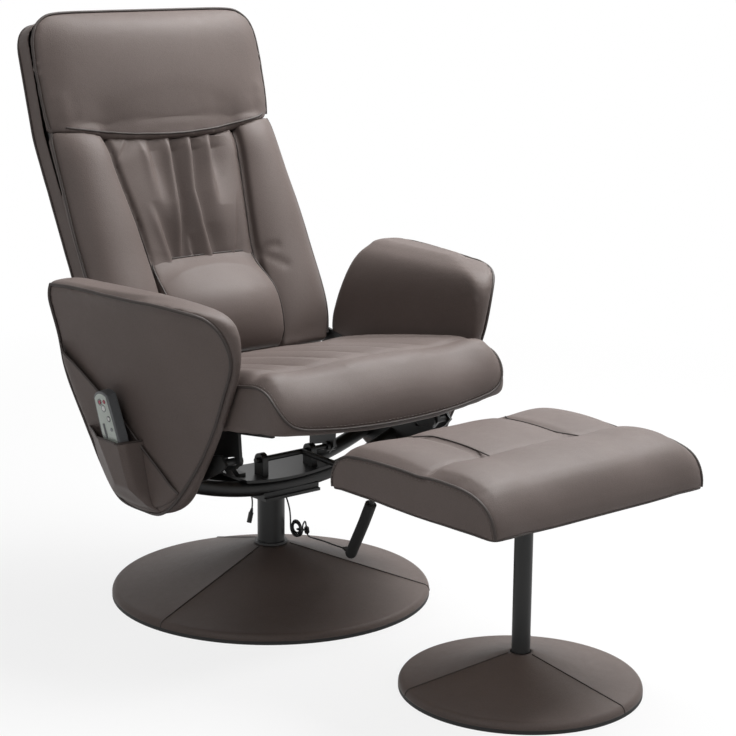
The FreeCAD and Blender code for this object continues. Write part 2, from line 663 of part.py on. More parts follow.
def hand_control():
    front = -REMOTE_THICKNESS / 2
    case = remote_block(0, front, -front)
    rims = [edge for edge in case.Edges if abs(edge.BoundBox.XMax - edge.BoundBox.XMin) < 1e-6]
    case = case.makeFillet(REMOTE_FACE_INSET * 0.6, rims)
    face = remote_block(REMOTE_FACE_INSET, front, front + REMOTE_FACE_THICKNESS)
    floor = front + REMOTE_FACE_THICKNESS + REMOTE_KEY_SPACE
    well = remote_block(REMOTE_FACE_INSET * 2, front, floor)
    case = case.cut([face, well])
    pieces = {}
    for name, (y, z, radius) in BUTTONS.items():
        low = V(front - BUTTON_PROUD, y, z)
        high = V(front + REMOTE_FACE_THICKNESS + BUTTON_SKIRT, y, z)
        face = face.cut(rod(radius + BUTTON_CLEARANCE, low, high))
        key = rod(radius, low, high)
        crown = [edge for edge in key.Edges if edge.BoundBox.XMax < front]
        pieces[name] = place_remote(key.makeFillet(BUTTON_PROUD * 0.4, crown))
    pieces["remote_case"] = place_remote(case)
    pieces["remote_face"] = place_remote(face)
    return pieces


def remote_pocket(panel):
    """Small sewn pouch for the hand control, seated on the magazine pocket's panel."""
    room = REMOTE_PLAY
    half_width = REMOTE_WIDTH / 2 + room
    low = -REMOTE_LENGTH / 2 - room
    high = low + REMOTE_POCKET_DEPTH
    face = -REMOTE_THICKNESS / 2 - room
    back = REMOTE_THICKNESS * 3
    wall = POCKET_WALL
    outer = box(V(face - wall, -half_width - wall * 3, low - wall * 3), V(back, half_width + wall * 3, high))
    inner = box(V(face, -half_width, low), V(back, half_width, high + wall))
    backing = box(V(REMOTE_THICKNESS / 2 + room / 2, -half_width, low), V(back, half_width, high))
    deep = POCKET_DEPTH + wall
    skin = arm_form(deep + POUCH_SKIN).common(slab(POUCH_OUTLINE, ARM_INNER, ARM_INNER + 200))
    pouch = place_remote(outer.fuse(backing)).fuse(right(skin))
    pouch = pouch.cut([place_remote(inner.cut(backing)), right(arm_form(deep)), panel])
    return max(pouch.Solids, key=lambda solid: solid.Volume)


def seat_stop(saddle_plate):
    """Tapered strap that rises from the saddle plate's right end to stand close under the seat."""
    plate_high = CRADLE_TUBE_RADIUS + SADDLE_PLATE_THICKNESS
    foot = V(-SADDLE_PLATE_HALF_LENGTH + 6, -17, cradle_rise(SADDLE_PLATE_HALF_LENGTH - 6, plate_high))
    top_y, top_z = seat_point(150, SEAT_BOARD_DROP - SEAT_BOARD_THICKNESS - RAIL_HEIGHT - 5)
    top = V(-180, top_y, top_z)
    wide = strap_end(foot, 5, 13)
    slim = strap_end(top, 4, 9)
    strap = Part.makeLoft([wide, slim], True, True)
    tread = box(foot + V(-6, -13, -4), foot + V(16, 13, 4))
    stop = strap.fuse(tread).cut(saddle_plate)
    return max(stop.Solids, key=lambda solid: solid.Volume).removeSplitter()


def strap_end(centre, half_x, half_y):
    sides = [(-1, -1), (1, -1), (1, 1), (-1, 1), (-1, -1)]
    return Part.makePolygon([centre + V(x * half_x, y * half_y, 0) for x, y in sides])


def seat_frame():
    """Welded frame: two rails, two crossbars and the slotted hangers that ride on the guide pins."""
    link = (PIVOT_Y, PIVOT_Z - LINK_RADIUS)
    rail_low = SEAT_BOARD_DROP - SEAT_BOARD_THICKNESS - RAIL_HEIGHT
    rail_high = rail_low + RAIL_HEIGHT
    tilt = math.radians(SEAT_TILT)
    link_reach = (link[0] - SEAT_REF_Y) * math.cos(tilt) - (link[1] - SEAT_REF_Z) * math.sin(tilt)
    rail_inner = RAIL_OUTER - RAIL_THICKNESS
    rail = seat_slab(RAIL_FRONT, link_reach + HINGE_PLATE_EDGE, rail_low, rail_high, rail_inner, RAIL_OUTER)
    sag = LINK_RADIUS * (1 - math.cos(math.radians(RECLINE_ANGLE / 2)))
    angle = math.radians(SLIDE_ANGLE)
    dip = (link[0] - sag * math.sin(angle), link[1] - sag * math.cos(angle))
    rail = rail.cut(slot(link, dip, LINK_STUD_RADIUS + SLOT_PLAY, rail_inner, RAIL_OUTER))
    pin = (GUIDE_Y, GUIDE_Z)
    slot_end = slide_point(pin, -SEAT_TRAVEL)
    edge = GUIDE_PIN_RADIUS + SLOT_EDGE
    hanger = [seat_point(0, rail_high), seat_point(85, rail_high), (slot_end[0] + edge, slot_end[1])]
    hanger += [(slot_end[0], slot_end[1] - edge), (pin[0], pin[1] - edge), (pin[0] - edge, pin[1])]
    hanger_out = RAIL_OUTER + RAIL_THICKNESS
    hanger = slab(hanger, RAIL_OUTER, hanger_out)
    hanger = hanger.cut(slot(pin, slot_end, GUIDE_PIN_RADIUS + SLOT_PLAY, RAIL_OUTER, hanger_out))
    relief = slot(pin, slot_end, GUIDE_PIN_RADIUS + 4 + SLOT_PLAY, rail_inner, RAIL_OUTER)
    left = rail.cut(relief).fuse(hanger)
    frame = left.fuse(right(left))
    for place in (CROSSBAR_FRONT, CROSSBAR_REAR):
        y, z = seat_point(place, rail_low + RAIL_HEIGHT / 2)
        frame = frame.fuse(rod(CROSSBAR_RADIUS, V(-rail_inner, y, z), V(rail_inner, y, z)))
    return frame.removeSplitter()


def lock_plate():
    """Slotted plate under the seat that the lever's collars clamp."""
    pin = (LEVER_AXIS_Y, LEVER_AXIS_Z)
    slot_end = slide_point(pin, -SEAT_TRAVEL)
    edge = LEVER_ROD_RADIUS + SLOT_EDGE
    under = SEAT_BOARD_DROP - SEAT_BOARD_THICKNESS
    corners = [seat_point(140, under), seat_point(215, under), (slot_end[0] + edge, slot_end[1])]
    corners += [(slot_end[0], slot_end[1] - edge), (pin[0], pin[1] - edge), (pin[0] - edge, pin[1])]
    high_x = LOCK_PLATE_INNER + LOCK_PLATE_THICKNESS
    plate = slab(corners, LOCK_PLATE_INNER, high_x)
    return plate.cut(slot(pin, slot_end, LEVER_ROD_RADIUS + SLOT_PLAY, LOCK_PLATE_INNER, high_x))


def seat_section(x, crown, inset):
    """Side profile of the seat cushion at one place across it, with a rolled front edge."""
    foot_y, foot_z = seat_point((SEAT_REAR_Y - SEAT_REF_Y) / math.cos(math.radians(SEAT_TILT)), 0)
    points = [V(x, SEAT_REAR_Y - inset, foot_z), V(x, SEAT_REAR_Y - inset, SEAT_TOP_REAR_Z + crown * 0.4)]
    bow = 1 - (x / SEAT_HALF_WIDTH) ** 2
    points += [V(x, SEAT_TOP_FRONT_Y - SEAT_BOW * bow / 2, SEAT_TOP_FRONT_Z + crown)]
    points += [V(x, SEAT_FRONT_Y + inset - SEAT_BOW * bow, SEAT_FRONT_Z - SEAT_DIP * bow)]
    bulges = [0, 5 + crown * 0.3, SEAT_FRONT_ROLL + crown * 0.3, 0]
    return outline(points, bulges, ACROSS)


def seat():
    side = SEAT_HALF_WIDTH
    crowns = [(side, -4, 5), (side - 10, 5, 0), (side * 0.77, SEAT_CROWN * 0.8, 0), (side * 0.48, SEAT_CROWN * 0.55, 0)]
    crowns += [(side * 0.24, SEAT_CROWN, 0)]
    across = [(-x, crown, inset) for x, crown, inset in crowns] + [(0, SEAT_CROWN, 0)] + crowns[::-1]
    cushion = Part.makeLoft([seat_section(*place) for place in across], True, False)
    hollow_half = side - SEAT_SKIRT
    hollow_front = SEAT_BOARD_FRONT - SEAT_BOARD_GAP
    cushion = cushion.cut(seat_slab(hollow_front, 600, -120, SEAT_BOARD_DROP, -hollow_half, hollow_half))
    board_low = SEAT_BOARD_DROP - SEAT_BOARD_THICKNESS
    board_half = hollow_half - SEAT_BOARD_GAP
    board = seat_slab(SEAT_BOARD_FRONT, SEAT_BOARD_REAR, board_low, SEAT_BOARD_DROP, -board_half, board_half)
    motors = []
    for x in (-side * 0.36, side * 0.36):
        y, z = seat_point(60, board_low)
        down = V(0, -math.sin(math.radians(SEAT_TILT)), -math.cos(math.radians(SEAT_TILT)))
        motors.append(rod(MOTOR_RADIUS, V(x, y, z), V(x, y, z) + down * MOTOR_HEIGHT))
    wide = CONTROL_BOX_HALF_WIDTH
    start = CROSSBAR_REAR + CROSSBAR_RADIUS + SEAT_BOARD_GAP
    control = seat_slab(start, start + CONTROL_BOX_LENGTH, board_low - CONTROL_BOX_HEIGHT, board_low, -wide, wide)
    return {
        "seat_frame": seat_frame(),
        "seat_board": board,
        "seat_cushion": cushion,
        "lock_plate": lock_plate(),
        "seat_motors": group(motors),
        "control_box": control,
    }


def lower_back(down, depth):
    """(y, z) of a point given down from the bend and behind the back's front plane."""
    lean = math.radians(LOWER_LEAN)
    y = BEND_Y - down * math.sin(lean) + depth * math.cos(lean)
    return y, BEND_Z - down * math.cos(lean) - depth * math.sin(lean)


def upper_back(rise, depth):
    """(y, z) of a point given up from the bend and behind the head's front plane."""
    lean = math.radians(UPPER_LEAN)
    y = BEND_Y + rise * math.sin(lean) + depth * math.cos(lean)
    return y, BEND_Z + rise * math.cos(lean) - depth * math.sin(lean)


def bend_point(depth):
    """(y, z) where the two leaning planes meet at the given depth."""
    middle = math.radians((LOWER_LEAN + UPPER_LEAN) / 2)
    reach = depth / math.cos(math.radians((LOWER_LEAN - UPPER_LEAN) / 2))
    return BEND_Y + reach * math.cos(middle), BEND_Z - reach * math.sin(middle)


def at_x(x, place):
    return V(x, *place)


def back_section(down, half, centre, crown, rise, middle):
    """Cross-section of the back cushion: two bolsters beside a centre panel."""
    front = lower_back(down, 0)
    rear = lower_back(down, PAD_BACKING)
    groove = lower_back(down, -rise)
    points = [at_x(-half, front), at_x(-half, rear), at_x(half, rear), at_x(half, front)]
    points += [at_x(centre, groove), at_x(-centre, groove)]
    down_along = V(0, *lower_back(1, 0)) - V(0, *lower_back(0, 0))
    return outline(points, [-2, 0, -2, crown * 0.8, middle, crown * 0.8], down_along)


def back_places():
    """Cross-sections of the back cushion from its foot up; the channels deepen towards the lumbar pad."""
    foot = BACK_FOOT_HALF_WIDTH
    half = BACK_HALF_WIDTH
    crown = BOLSTER_CROWN
    return [
        (LOWER_LENGTH + PAD_OVERHANG, foot - 16, CENTRE_FOOT_HALF, 6, -CHANNEL_SINK / 2, 1),
        (LOWER_LENGTH - 25, foot, CENTRE_FOOT_HALF, crown * 0.6, -CHANNEL_SINK, 1),
        (LUMBAR_TOP + 40, half, CENTRE_FOOT_HALF, crown, -CHANNEL_SINK, 1),
        (LUMBAR_TOP, half, CENTRE_FOOT_HALF + 2, crown, -CHANNEL_SINK, 1),
        (LUMBAR_TOP - 60, half, CENTRE_FOOT_HALF + 8, crown, -CHANNEL_SINK * 0.4, crown * 0.4),
        (LUMBAR_TOP * 0.35, half - 5, CENTRE_TOP_HALF - 6, crown, CHANNEL_RISE * 0.25, crown * 0.5),
        (25, HEAD_HALF_WIDTH, CENTRE_TOP_HALF, crown * 0.8, CHANNEL_RISE, crown * 0.45),
        (SEAM_GAP, HEAD_HALF_WIDTH - 3, CENTRE_TOP_HALF, crown * 0.35, CHANNEL_RISE, crown * 0.2),
    ]


def seam_region(gap):
    """Block above the head seam, which dips in a curve across the back."""
    half = BACK_HALF_WIDTH + 20
    drop = HEAD_SEAM_DROP + gap
    level = drop - HEAD_SEAM_DROP * (half / HEAD_HALF_WIDTH) ** 2
    depth = -BOLSTER_CROWN * 3
    left = at_x(-half, lower_back(level, depth))
    low = at_x(0, lower_back(drop, depth))
    far = at_x(half, lower_back(level, depth))
    far_top = at_x(half, lower_back(-HEAD_SEAM_DROP, depth))
    left_top = at_x(-half, lower_back(-HEAD_SEAM_DROP, depth))
    edges = [Part.Arc(left, low, far).toShape(), Part.makeLine(far, far_top)]
    edges += [Part.makeLine(far_top, left_top), Part.makeLine(left_top, left)]
    through = V(0, *lower_back(0, PAD_BACKING * 2)) - V(0, *lower_back(0, depth))
    return Part.Face(Part.Wire(edges)).extrude(through)


def back_cushion():
    loft = Part.makeLoft([back_section(*place) for place in back_places()], True, False)
    return loft.cut(seam_region(SEAM_GAP * 2))


def head_section(rise, half, crown, tuck):
    front = upper_back(rise, tuck)
    rear = upper_back(rise, PAD_BACKING)
    points = [at_x(-half, front), at_x(-half, rear), at_x(half, rear), at_x(half, front)]
    down_along = V(0, *upper_back(0, 0)) - V(0, *upper_back(1, 0))
    return outline(points, [-2, 0, -2, crown], down_along)


def head_cushion():
    half = HEAD_HALF_WIDTH
    places = [
        (SEAM_GAP, half - 3, HEAD_CROWN * 0.3, 0),
        (24, half, HEAD_CROWN * 0.75, 0),
        (90, half + 3, HEAD_CROWN, 0),
        (UPPER_LENGTH - 50, half + 1, HEAD_CROWN * 0.85, 0),
        (UPPER_LENGTH - 22, half - 9, HEAD_CROWN * 0.55, 0),
        (UPPER_LENGTH - 6, half - 30, HEAD_CROWN * 0.2, 2),
        (UPPER_LENGTH, half - 52, 2, 9),
    ]
    pad = Part.makeLoft([head_section(*place) for place in places], True, False)
    top = (-6, HEAD_HALF_WIDTH - 3, CENTRE_TOP_HALF, BOLSTER_CROWN * 0.2, CHANNEL_RISE / 2, BOLSTER_CROWN * 0.1)
    lip = Part.makeLoft([back_section(*place) for place in back_places()[:-1] + [top]], True, False)
    return pad.fuse(lip.common(seam_region(0)))


def lumbar_section(down, half, crown, base):
    front = lower_back(down, -base)
    rear = lower_back(down, PAD_BACKING * 0.7)
    points = [at_x(-half, front), at_x(-half, rear), at_x(half, rear), at_x(half, front)]
    down_along = V(0, *lower_back(1, 0)) - V(0, *lower_back(0, 0))
    return outline(points, [0, 0, 0, crown], down_along)


def lumbar_cushion(back):
    half = CENTRE_FOOT_HALF
    places = [
        (LOWER_LENGTH + PAD_OVERHANG - 2, half - 4, LUMBAR_CROWN * 0.3, LUMBAR_BASE * 0.2),
        (LOWER_LENGTH - 10, half + 1, LUMBAR_CROWN * 0.6, LUMBAR_BASE * 0.75),
        (LOWER_LENGTH - 40, half + 4, LUMBAR_CROWN, LUMBAR_BASE),
        ((LUMBAR_TOP + LOWER_LENGTH) / 2, half + 4, LUMBAR_CROWN, LUMBAR_BASE),
        (LUMBAR_TOP + 60, half + 2, LUMBAR_CROWN * 0.8, LUMBAR_BASE * 0.6),
        (LUMBAR_TOP + 28, half, LUMBAR_CROWN * 0.55, LUMBAR_BASE * 0.15),
        (LUMBAR_TOP, half - 4, LUMBAR_CROWN * 0.2, -CHANNEL_SINK * 0.5),
    ]
    return Part.makeLoft([lumbar_section(*place) for place in places], True, False).cut(back)


def back_shell():
    """Rear upholstered shell: an open tray bent where the head leans less than the back."""
    def layer(front, rear, foot, head, half):
        points = [lower_back(foot, front), bend_point(front), upper_back(head, front)]
        points += [upper_back(head, rear), bend_point(rear), lower_back(foot, rear)]
        corners = [at_x(-half, place) for place in points]
        return Part.Face(Part.makePolygon(corners + corners[:1])).extrude(V(half * 2, 0, 0))
    head = UPPER_LENGTH - 8
    outer = layer(PAD_BACKING, BACK_DEPTH, LOWER_LENGTH - 25, head, SHELL_HALF_WIDTH)
    top_z = upper_back(head, BACK_DEPTH)[1] - 2
    corners = [edge for edge in outer.Edges if edge.BoundBox.ZMin > top_z and edge.BoundBox.XLength < 1e-6]
    outer = outer.makeFillet(SHELL_CORNER, corners)
    wall = SHELL_WALL
    inner = layer(PAD_BACKING - 1, BACK_DEPTH - wall, LOWER_LENGTH, head - wall, SHELL_HALF_WIDTH - wall)
    corners = [edge for edge in inner.Edges if edge.BoundBox.ZMin > top_z - wall - 2 and edge.BoundBox.XLength < 1e-6]
    return outer.cut(inner.makeFillet(SHELL_CORNER - wall, corners))


def back_frame():
    side = HINGE_PLATE_INNER - BACK_TUBE_RADIUS
    depth = BACK_TUBE_DEPTH
    foot = LOWER_LENGTH - 30
    half = [lower_back(foot, depth), lower_back(0, depth), upper_back(BACK_FRAME_HEAD, depth)]
    points = [at_x(-side, place) for place in half] + [at_x(side, place) for place in half[::-1]]
    frame = swept(bent_path(points, [120, BACK_TUBE_BEND, BACK_TUBE_BEND, 120]), BACK_TUBE_RADIUS)
    for share in (0.14, 0.47, 0.79):
        place = lower_back(LOWER_LENGTH * share, depth)
        frame = frame.fuse(rod(BACK_CROSSBAR_RADIUS, at_x(-side, place), at_x(side, place)))
    return frame.removeSplitter()


def hinge_plate():
    """Left hinge plate: welded to the frame tube, bored for the pivot pin, with a stud that pushes the seat."""
    high_x = HINGE_PLATE_INNER + HINGE_PLATE_THICKNESS
    edge = HINGE_PLATE_EDGE
    link_z = PIVOT_Z - LINK_RADIUS
    top = lower_back(LOWER_LENGTH - 110, BACK_TUBE_DEPTH)
    width = BACK_TUBE_RADIUS + 2
    corners = [(PIVOT_Y - edge, link_z), (PIVOT_Y, link_z - edge), (PIVOT_Y + edge, link_z)]
    corners.append((PIVOT_Y + edge * 0.7, PIVOT_Z))
    corners += [(top[0] + width, top[1]), (top[0] - width, top[1]), (PIVOT_Y - edge, PIVOT_Z)]
    plate = slab(corners, HINGE_PLATE_INNER, high_x)
    pivot = V(HINGE_PLATE_INNER, PIVOT_Y, PIVOT_Z)
    plate = plate.cut(rod(PIVOT_PIN_RADIUS + RUNNING_FIT, pivot, pivot + ACROSS * HINGE_PLATE_THICKNESS))
    stud_end = V(RAIL_OUTER - RAIL_THICKNESS - 2, PIVOT_Y, link_z)
    return plate.fuse(rod(LINK_STUD_RADIUS, stud_end, V(high_x, PIVOT_Y, link_z))).removeSplitter()


def back_motors():
    motors = []
    for share, x in ((0.3, 70), (0.3, -70), (0.63, 70), (0.63, -70)):
        down = LOWER_LENGTH * share
        face = at_x(x, lower_back(down, PAD_BACKING))
        motors.append(rod(MOTOR_RADIUS, face, at_x(x, lower_back(down, PAD_BACKING + MOTOR_HEIGHT))))
    return motors


def back():
    cushion = back_cushion()
    shell = back_shell()
    return {
        "back_cushion": cushion,
        "head_cushion": head_cushion().cut([cushion, shell]),
        "lumbar_cushion": lumbar_cushion(cushion),
        "back_shell": shell,
        "back_frame": back_frame(),
        "hinge_plates": group(both_sides(hinge_plate())),
        "back_motors": group(back_motors()),
    }


def stool_section(x, crown, inset):
    """Side profile of the stool cushion: waterfall front, rolled rear and a sewn cross seam."""
    low = STOOL_UNDERSIDE
    edge = low + STOOL_EDGE_HEIGHT + crown
    points = [V(x, STOOL_REAR - inset, low), V(x, STOOL_TOP_REAR, edge), V(x, STOOL_SEAM_Y, edge)]
    points += [V(x, STOOL_TOP_FRONT, edge + 2), V(x, STOOL_FRONT + inset, low)]
    return outline(points, [16, 4 + crown * 0.3, 6 + crown * 0.3, 18, 0], ACROSS)


def footstool():
    plate, rim, cover = pedestal_base(STOOL_BASE_RADIUS, STOOL_DOME_HEIGHT, RIM_HEIGHT, STOOL_POST_RADIUS)
    spider_top = STOOL_UNDERSIDE
    spider_low = spider_top - SPIDER_THICKNESS
    post = ring(STOOL_POST_RADIUS, STOOL_POST_RADIUS - STOOL_POST_WALL, RIM_HEIGHT, spider_low)
    spider = box(V(-SPIDER_HALF, -SPIDER_HALF, spider_low), V(SPIDER_HALF, SPIDER_HALF, spider_top))
    upright = [edge for edge in spider.Edges if edge.BoundBox.ZLength > SPIDER_THICKNESS / 2]
    spider = spider.makeFillet(SPIDER_HALF * 0.2, upright)
    side = STOOL_HALF_WIDTH
    crowns = [(side, 0, 4), (side - 10, 2, 0), (side * 0.75, STOOL_CROWN, 0), (side * 0.46, STOOL_CROWN * 0.6, 0)]
    crowns += [(side * 0.22, STOOL_CROWN, 0)]
    across = [(-x, crown, inset) for x, crown, inset in crowns] + [(0, STOOL_CROWN, 0)] + crowns[::-1]
    cushion = Part.makeLoft([stool_section(*place) for place in across], True, False)
    margin = STOOL_BOARD_INSET
    board_top = STOOL_UNDERSIDE + STOOL_BOARD_THICKNESS
    board = box(V(-side + margin, STOOL_FRONT + margin, STOOL_UNDERSIDE), V(side - margin, STOOL_REAR - margin, board_top))
    pieces = {
        "stool_base_plate": plate,
        "stool_base_rim": rim,
        "stool_base_cover": cover,
        "stool_post": post,
        "stool_spider": spider,
        "stool_board": board,
        "stool_cushion": cushion.cut(board),
    }
    for shape in pieces.values():
        shape.translate(V(STOOL_X, STOOL_Y, 0))
    return pieces


def lead(name, points):
    """Lead along hand-picked points, each turn as round as its runs allow."""
    radii = []
    for index in range(1, len(points) - 1):
        back = points[index - 1] - points[index]
        ahead = points[index + 1] - points[index]
        half_turn = (math.pi - back.getAngle(ahead)) / 2
        radii.append(0.45 * min(back.Length, ahead.Length) / math.tan(half_turn))
    path = bent_path(points, radii)
    tube = swept(path, LEAD_RADIUS)
    plain = math.pi * LEAD_RADIUS ** 2 * path.Length
    print(name, "length", round(path.Length, 1), "least radius", round(min(radii), 1), "volume share", round(tube.Volume / plain, 4))
    return tube


def barrel(start, end):
    """Round lead connector: a tapered strain relief and a body with a waist."""
    along = (end - start).normalize()
    length = (end - start).Length
    neck = length * 0.3
    taper = Part.makeCone(LEAD_RADIUS * 1.4, CONNECTOR_RADIUS * 0.8, neck, start, along)
    body = Part.makeCylinder(CONNECTOR_RADIUS, length - neck, start + along * neck, along)
    return taper.fuse(body).removeSplitter()


def coil_path():
    """Two layers of loops, spiralling in and out, each half turn one arc."""
    step = COIL_PITCH / 2
    count = COIL_TURNS * 2
    centre = COIL_CENTRE
    edges = []
    y = COIL_RADIUS
    layer = 0.0
    side = -1

    def half_turn(start_y, end_y, start_x, end_x, direction):
        start = centre + V(start_x, start_y, 0)
        end = centre + V(end_x, end_y, 0)
        top = (start + end) * 0.5 + UP * direction * (end - start).Length / 2
        edges.append(Part.Arc(start, top, end).toShape())
    for index in range(count):
        radius = COIL_RADIUS - step * index
        end = y - 2 * radius if side < 0 else y + 2 * radius
        half_turn(y, end, layer, layer, side)
        y = end
        side = -side
    radius = COIL_RADIUS - step * count
    half_turn(y, -y, layer, layer + COIL_PITCH, side)
    y = -y
    layer += COIL_PITCH
    side = -side
    for index in range(count - 1, -1, -1):
        radius = COIL_RADIUS - step * index
        end = y - 2 * radius if side < 0 else y + 2 * radius
        half_turn(y, end, layer, layer, side)
        y = end
        side = -side
    return Part.Wire(edges), centre + V(layer, y, 0), side


def coil_gap(path):
    """Least clear distance between turns of the coil, measured on points along it."""
    points = path.discretize(Distance=1.0)
    reach = int(COIL_RADIUS)
    least = None
    for first in range(len(points)):
        for second in range(first + reach, len(points)):
            apart = (points[first] - points[second]).Length
            if least is None or apart < least:
                least = apart
    return least - 2 * LEAD_RADIUS


def leads():
    box_y, box_z = seat_point(288, SEAT_BOARD_DROP - SEAT_BOARD_THICKNESS - CONTROL_BOX_HEIGHT)
    socket_points = [V(-20, box_y, box_z), V(-18.5, 91, 300), V(-13, 90.5, 275), V(-6, 90, 249)]
    socket_points += [V(-2, 89.5, 224), V(5, 90, 199), V(14, 90.5, 175), V(23, 90, 154), V(27.5, 89.5, 138)]
    socket_points.append(V(26.4, 90, 124))
    path, coil_end, _ = coil_path()
    coil_start = COIL_CENTRE + V(0, COIL_RADIUS, 0)
    drop = [V(34, 8, HUB_BOTTOM), V(34.6, 6, 172), V(36, -1, 157), V(35, -9, 142), coil_start + V(0.3, 0.4, 14), coil_start]
    rise = coil_end + UP * 8
    join = [coil_end, rise, V(42.5, -40, 126), V(50, -34, 124.5), V(56, -28, 117), V(61, -23, 109.5)]
    tail = [V(70, -14, 96), V(75, -9, 88.5), V(82, -6, 82.3), V(91, -6, 78.3), V(99, -10.5, 75.2), V(105.5, -18, 72.6)]
    tail += [V(111.5, -27.5, 69.6), V(118, -37.5, 66.6), V(124.5, -47, 63.9)]
    tail_end = V(134.4, -61.5, 59.8)
    print("coil gap", round(coil_gap(path), 2))
    coil = swept(path, LEAD_RADIUS)
    plain = math.pi * LEAD_RADIUS ** 2 * path.Length
    print("coil length", round(path.Length, 1), "volume share", round(coil.Volume / plain, 4))
    reach = COIL_RADIUS + LEAD_RADIUS + TIE_PLAY
    inner_reach = COIL_RADIUS - COIL_PITCH * COIL_TURNS - LEAD_RADIUS - TIE_PLAY
    low = COIL_CENTRE + V(-LEAD_RADIUS - TIE_PLAY, -reach, -TIE_HEIGHT / 2)
    high = COIL_CENTRE + V(COIL_PITCH + LEAD_RADIUS + TIE_PLAY, -inner_reach, TIE_HEIGHT / 2)
    wall = V(TIE_WALL, TIE_WALL, 0)
    tie = box(low - wall, high + wall).cut(box(low - UP, high + UP))
    return {
        "socket_lead": lead("socket_lead", socket_points),
        "socket_connector": barrel(socket_points[-1], V(19.4, 90, 98)),
        "harness_lead": lead("harness_lead", drop),
        "harness_hank": coil,
        "hank_tie": tie,
        "harness_join": lead("harness_join", join),
        "tail_lead": lead("tail_lead", tail),
        "tail_connectors": group([barrel(join[-1], tail[0]), barrel(tail[-1], tail_end)]),
    }


def main():
    os.makedirs("parts", exist_ok=True)
    pieces = {}
    pieces.update(chair_base())
    pieces.update(hub())
    pieces["lever_bearings"] = group(lever_bearings(pieces["saddle_plate"]))
    pieces["seat_stop"] = seat_stop(pieces["saddle_plate"])
    pieces.update(arms())
    pieces.update(lock_lever())
    pieces.update(seat())
    pieces.update(back())
    panel = magazine_pocket()
    pieces["magazine_pocket"] = panel
    pieces["remote_pocket"] = remote_pocket(panel)
    pieces.update(hand_control())
    pieces.update(footstool())
    pieces.update(leads())
    for name, shape in pieces.items():
        shape.exportStep("parts/" + name + ".step")
        print(name, len(shape.Solids), "solids", shape.isValid(), round(shape.Volume / 1000, 1), "cm3")
    print(len(pieces), "nodes")


main()
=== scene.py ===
# %% [markdown]
# Swivel recliner with footstool
#
# The rigid pieces of the chair come from its CAD model and stay exactly where they are. This lesson dresses
# them: a camera, a soft studio, leads, padded leather, sewn seams and the finishes of steel, rubber and plastic.
# Everything is in metres, in the frame of the chair: it faces -Y and stands on Z = 0.

# %% Load the frame
import bpy
import numpy as np
from math import acos, atan2, cos, exp, hypot, pi, radians, sin, tan
from mathutils import Matrix, Vector
from mathutils.bvhtree import BVHTree


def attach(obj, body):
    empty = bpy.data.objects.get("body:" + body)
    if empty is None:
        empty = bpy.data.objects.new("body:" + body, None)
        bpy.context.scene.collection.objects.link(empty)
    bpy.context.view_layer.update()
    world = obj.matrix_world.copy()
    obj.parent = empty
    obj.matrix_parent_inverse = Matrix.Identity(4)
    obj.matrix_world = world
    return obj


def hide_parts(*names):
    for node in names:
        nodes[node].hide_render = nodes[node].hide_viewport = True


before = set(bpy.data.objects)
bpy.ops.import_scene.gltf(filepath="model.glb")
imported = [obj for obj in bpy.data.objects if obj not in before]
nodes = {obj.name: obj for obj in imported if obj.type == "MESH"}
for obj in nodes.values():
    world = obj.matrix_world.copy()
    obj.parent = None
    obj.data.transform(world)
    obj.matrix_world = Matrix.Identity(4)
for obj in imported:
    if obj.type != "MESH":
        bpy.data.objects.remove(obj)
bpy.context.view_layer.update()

scene = bpy.context.scene

# %% [markdown]
# The photograph was taken from the front, to the chair's right, with a long lens a little above the seat. A long
# lens keeps upright edges nearly parallel. The camera is built from three unit vectors: where it looks, what is
# right and what is up, with a trace of roll. The small shift puts the picture's centre where the photograph has it.
# FOCAL and CENTRE are counted in pixels of a picture that is PICTURE pixels wide.

# %% Camera
AZIMUTH = radians(-39.95)
PITCH = 0.221
ROLL = 0.007
CAMERA_ASIDE = 0.13
CAMERA_AWAY = 3.365
CAMERA_HEIGHT = 1.159
SENSOR = 36
PICTURE = 736
FOCAL = 1994.658
CENTRE = 346.056
ahead = Vector((-sin(AZIMUTH), cos(AZIMUTH), 0))
aside = Vector((cos(AZIMUTH), sin(AZIMUTH), 0))
look = ahead * cos(PITCH) - Vector((0, 0, sin(PITCH)))
rise = ahead * sin(PITCH) + Vector((0, 0, cos(PITCH)))
right_axis = aside * cos(ROLL) + rise * sin(ROLL)
up_axis = rise * cos(ROLL) - aside * sin(ROLL)
camera = bpy.data.objects.new("photo_camera", bpy.data.cameras.new("photo_camera"))
scene.collection.objects.link(camera)
place = aside * CAMERA_ASIDE - ahead * CAMERA_AWAY + Vector((0, 0, CAMERA_HEIGHT))
turn = Matrix((right_axis, up_axis, -look)).transposed().to_4x4()
camera.matrix_world = Matrix.Translation(place) @ turn
camera.data.sensor_width = SENSOR
camera.data.lens = SENSOR * FOCAL / PICTURE
camera.data.shift_x = (PICTURE / 2 - CENTRE) / PICTURE
scene.camera = camera
print("camera at", [round(v, 3) for v in place])

# %% [markdown]
# Every piece that is added joins the scene, rides on one body of the chair and takes a finish. Leads, piping and
# thread are curves with a round section. A NURBS curve's bounds grow by the size of its points, so a lead's points
# are kept small and its section is scaled up instead.


# %% Shared helpers for pieces
def link(piece, body, finish):
    """Puts a piece in the scene, on its body, with its finish."""
    if piece.name not in scene.collection.objects:
        scene.collection.objects.link(piece)
    piece.data.materials.clear()
    piece.data.materials.append(finish)
    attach(piece, body)
    return piece


POINT_SIZE = 0.01


def round_curve(name, radius, resolution):
    """Empty curve with a round section and closed ends."""
    data = bpy.data.curves.new(name, "CURVE")
    data.dimensions = "3D"
    data.bevel_depth = radius
    data.bevel_resolution = resolution
    data.use_fill_caps = True
    return data


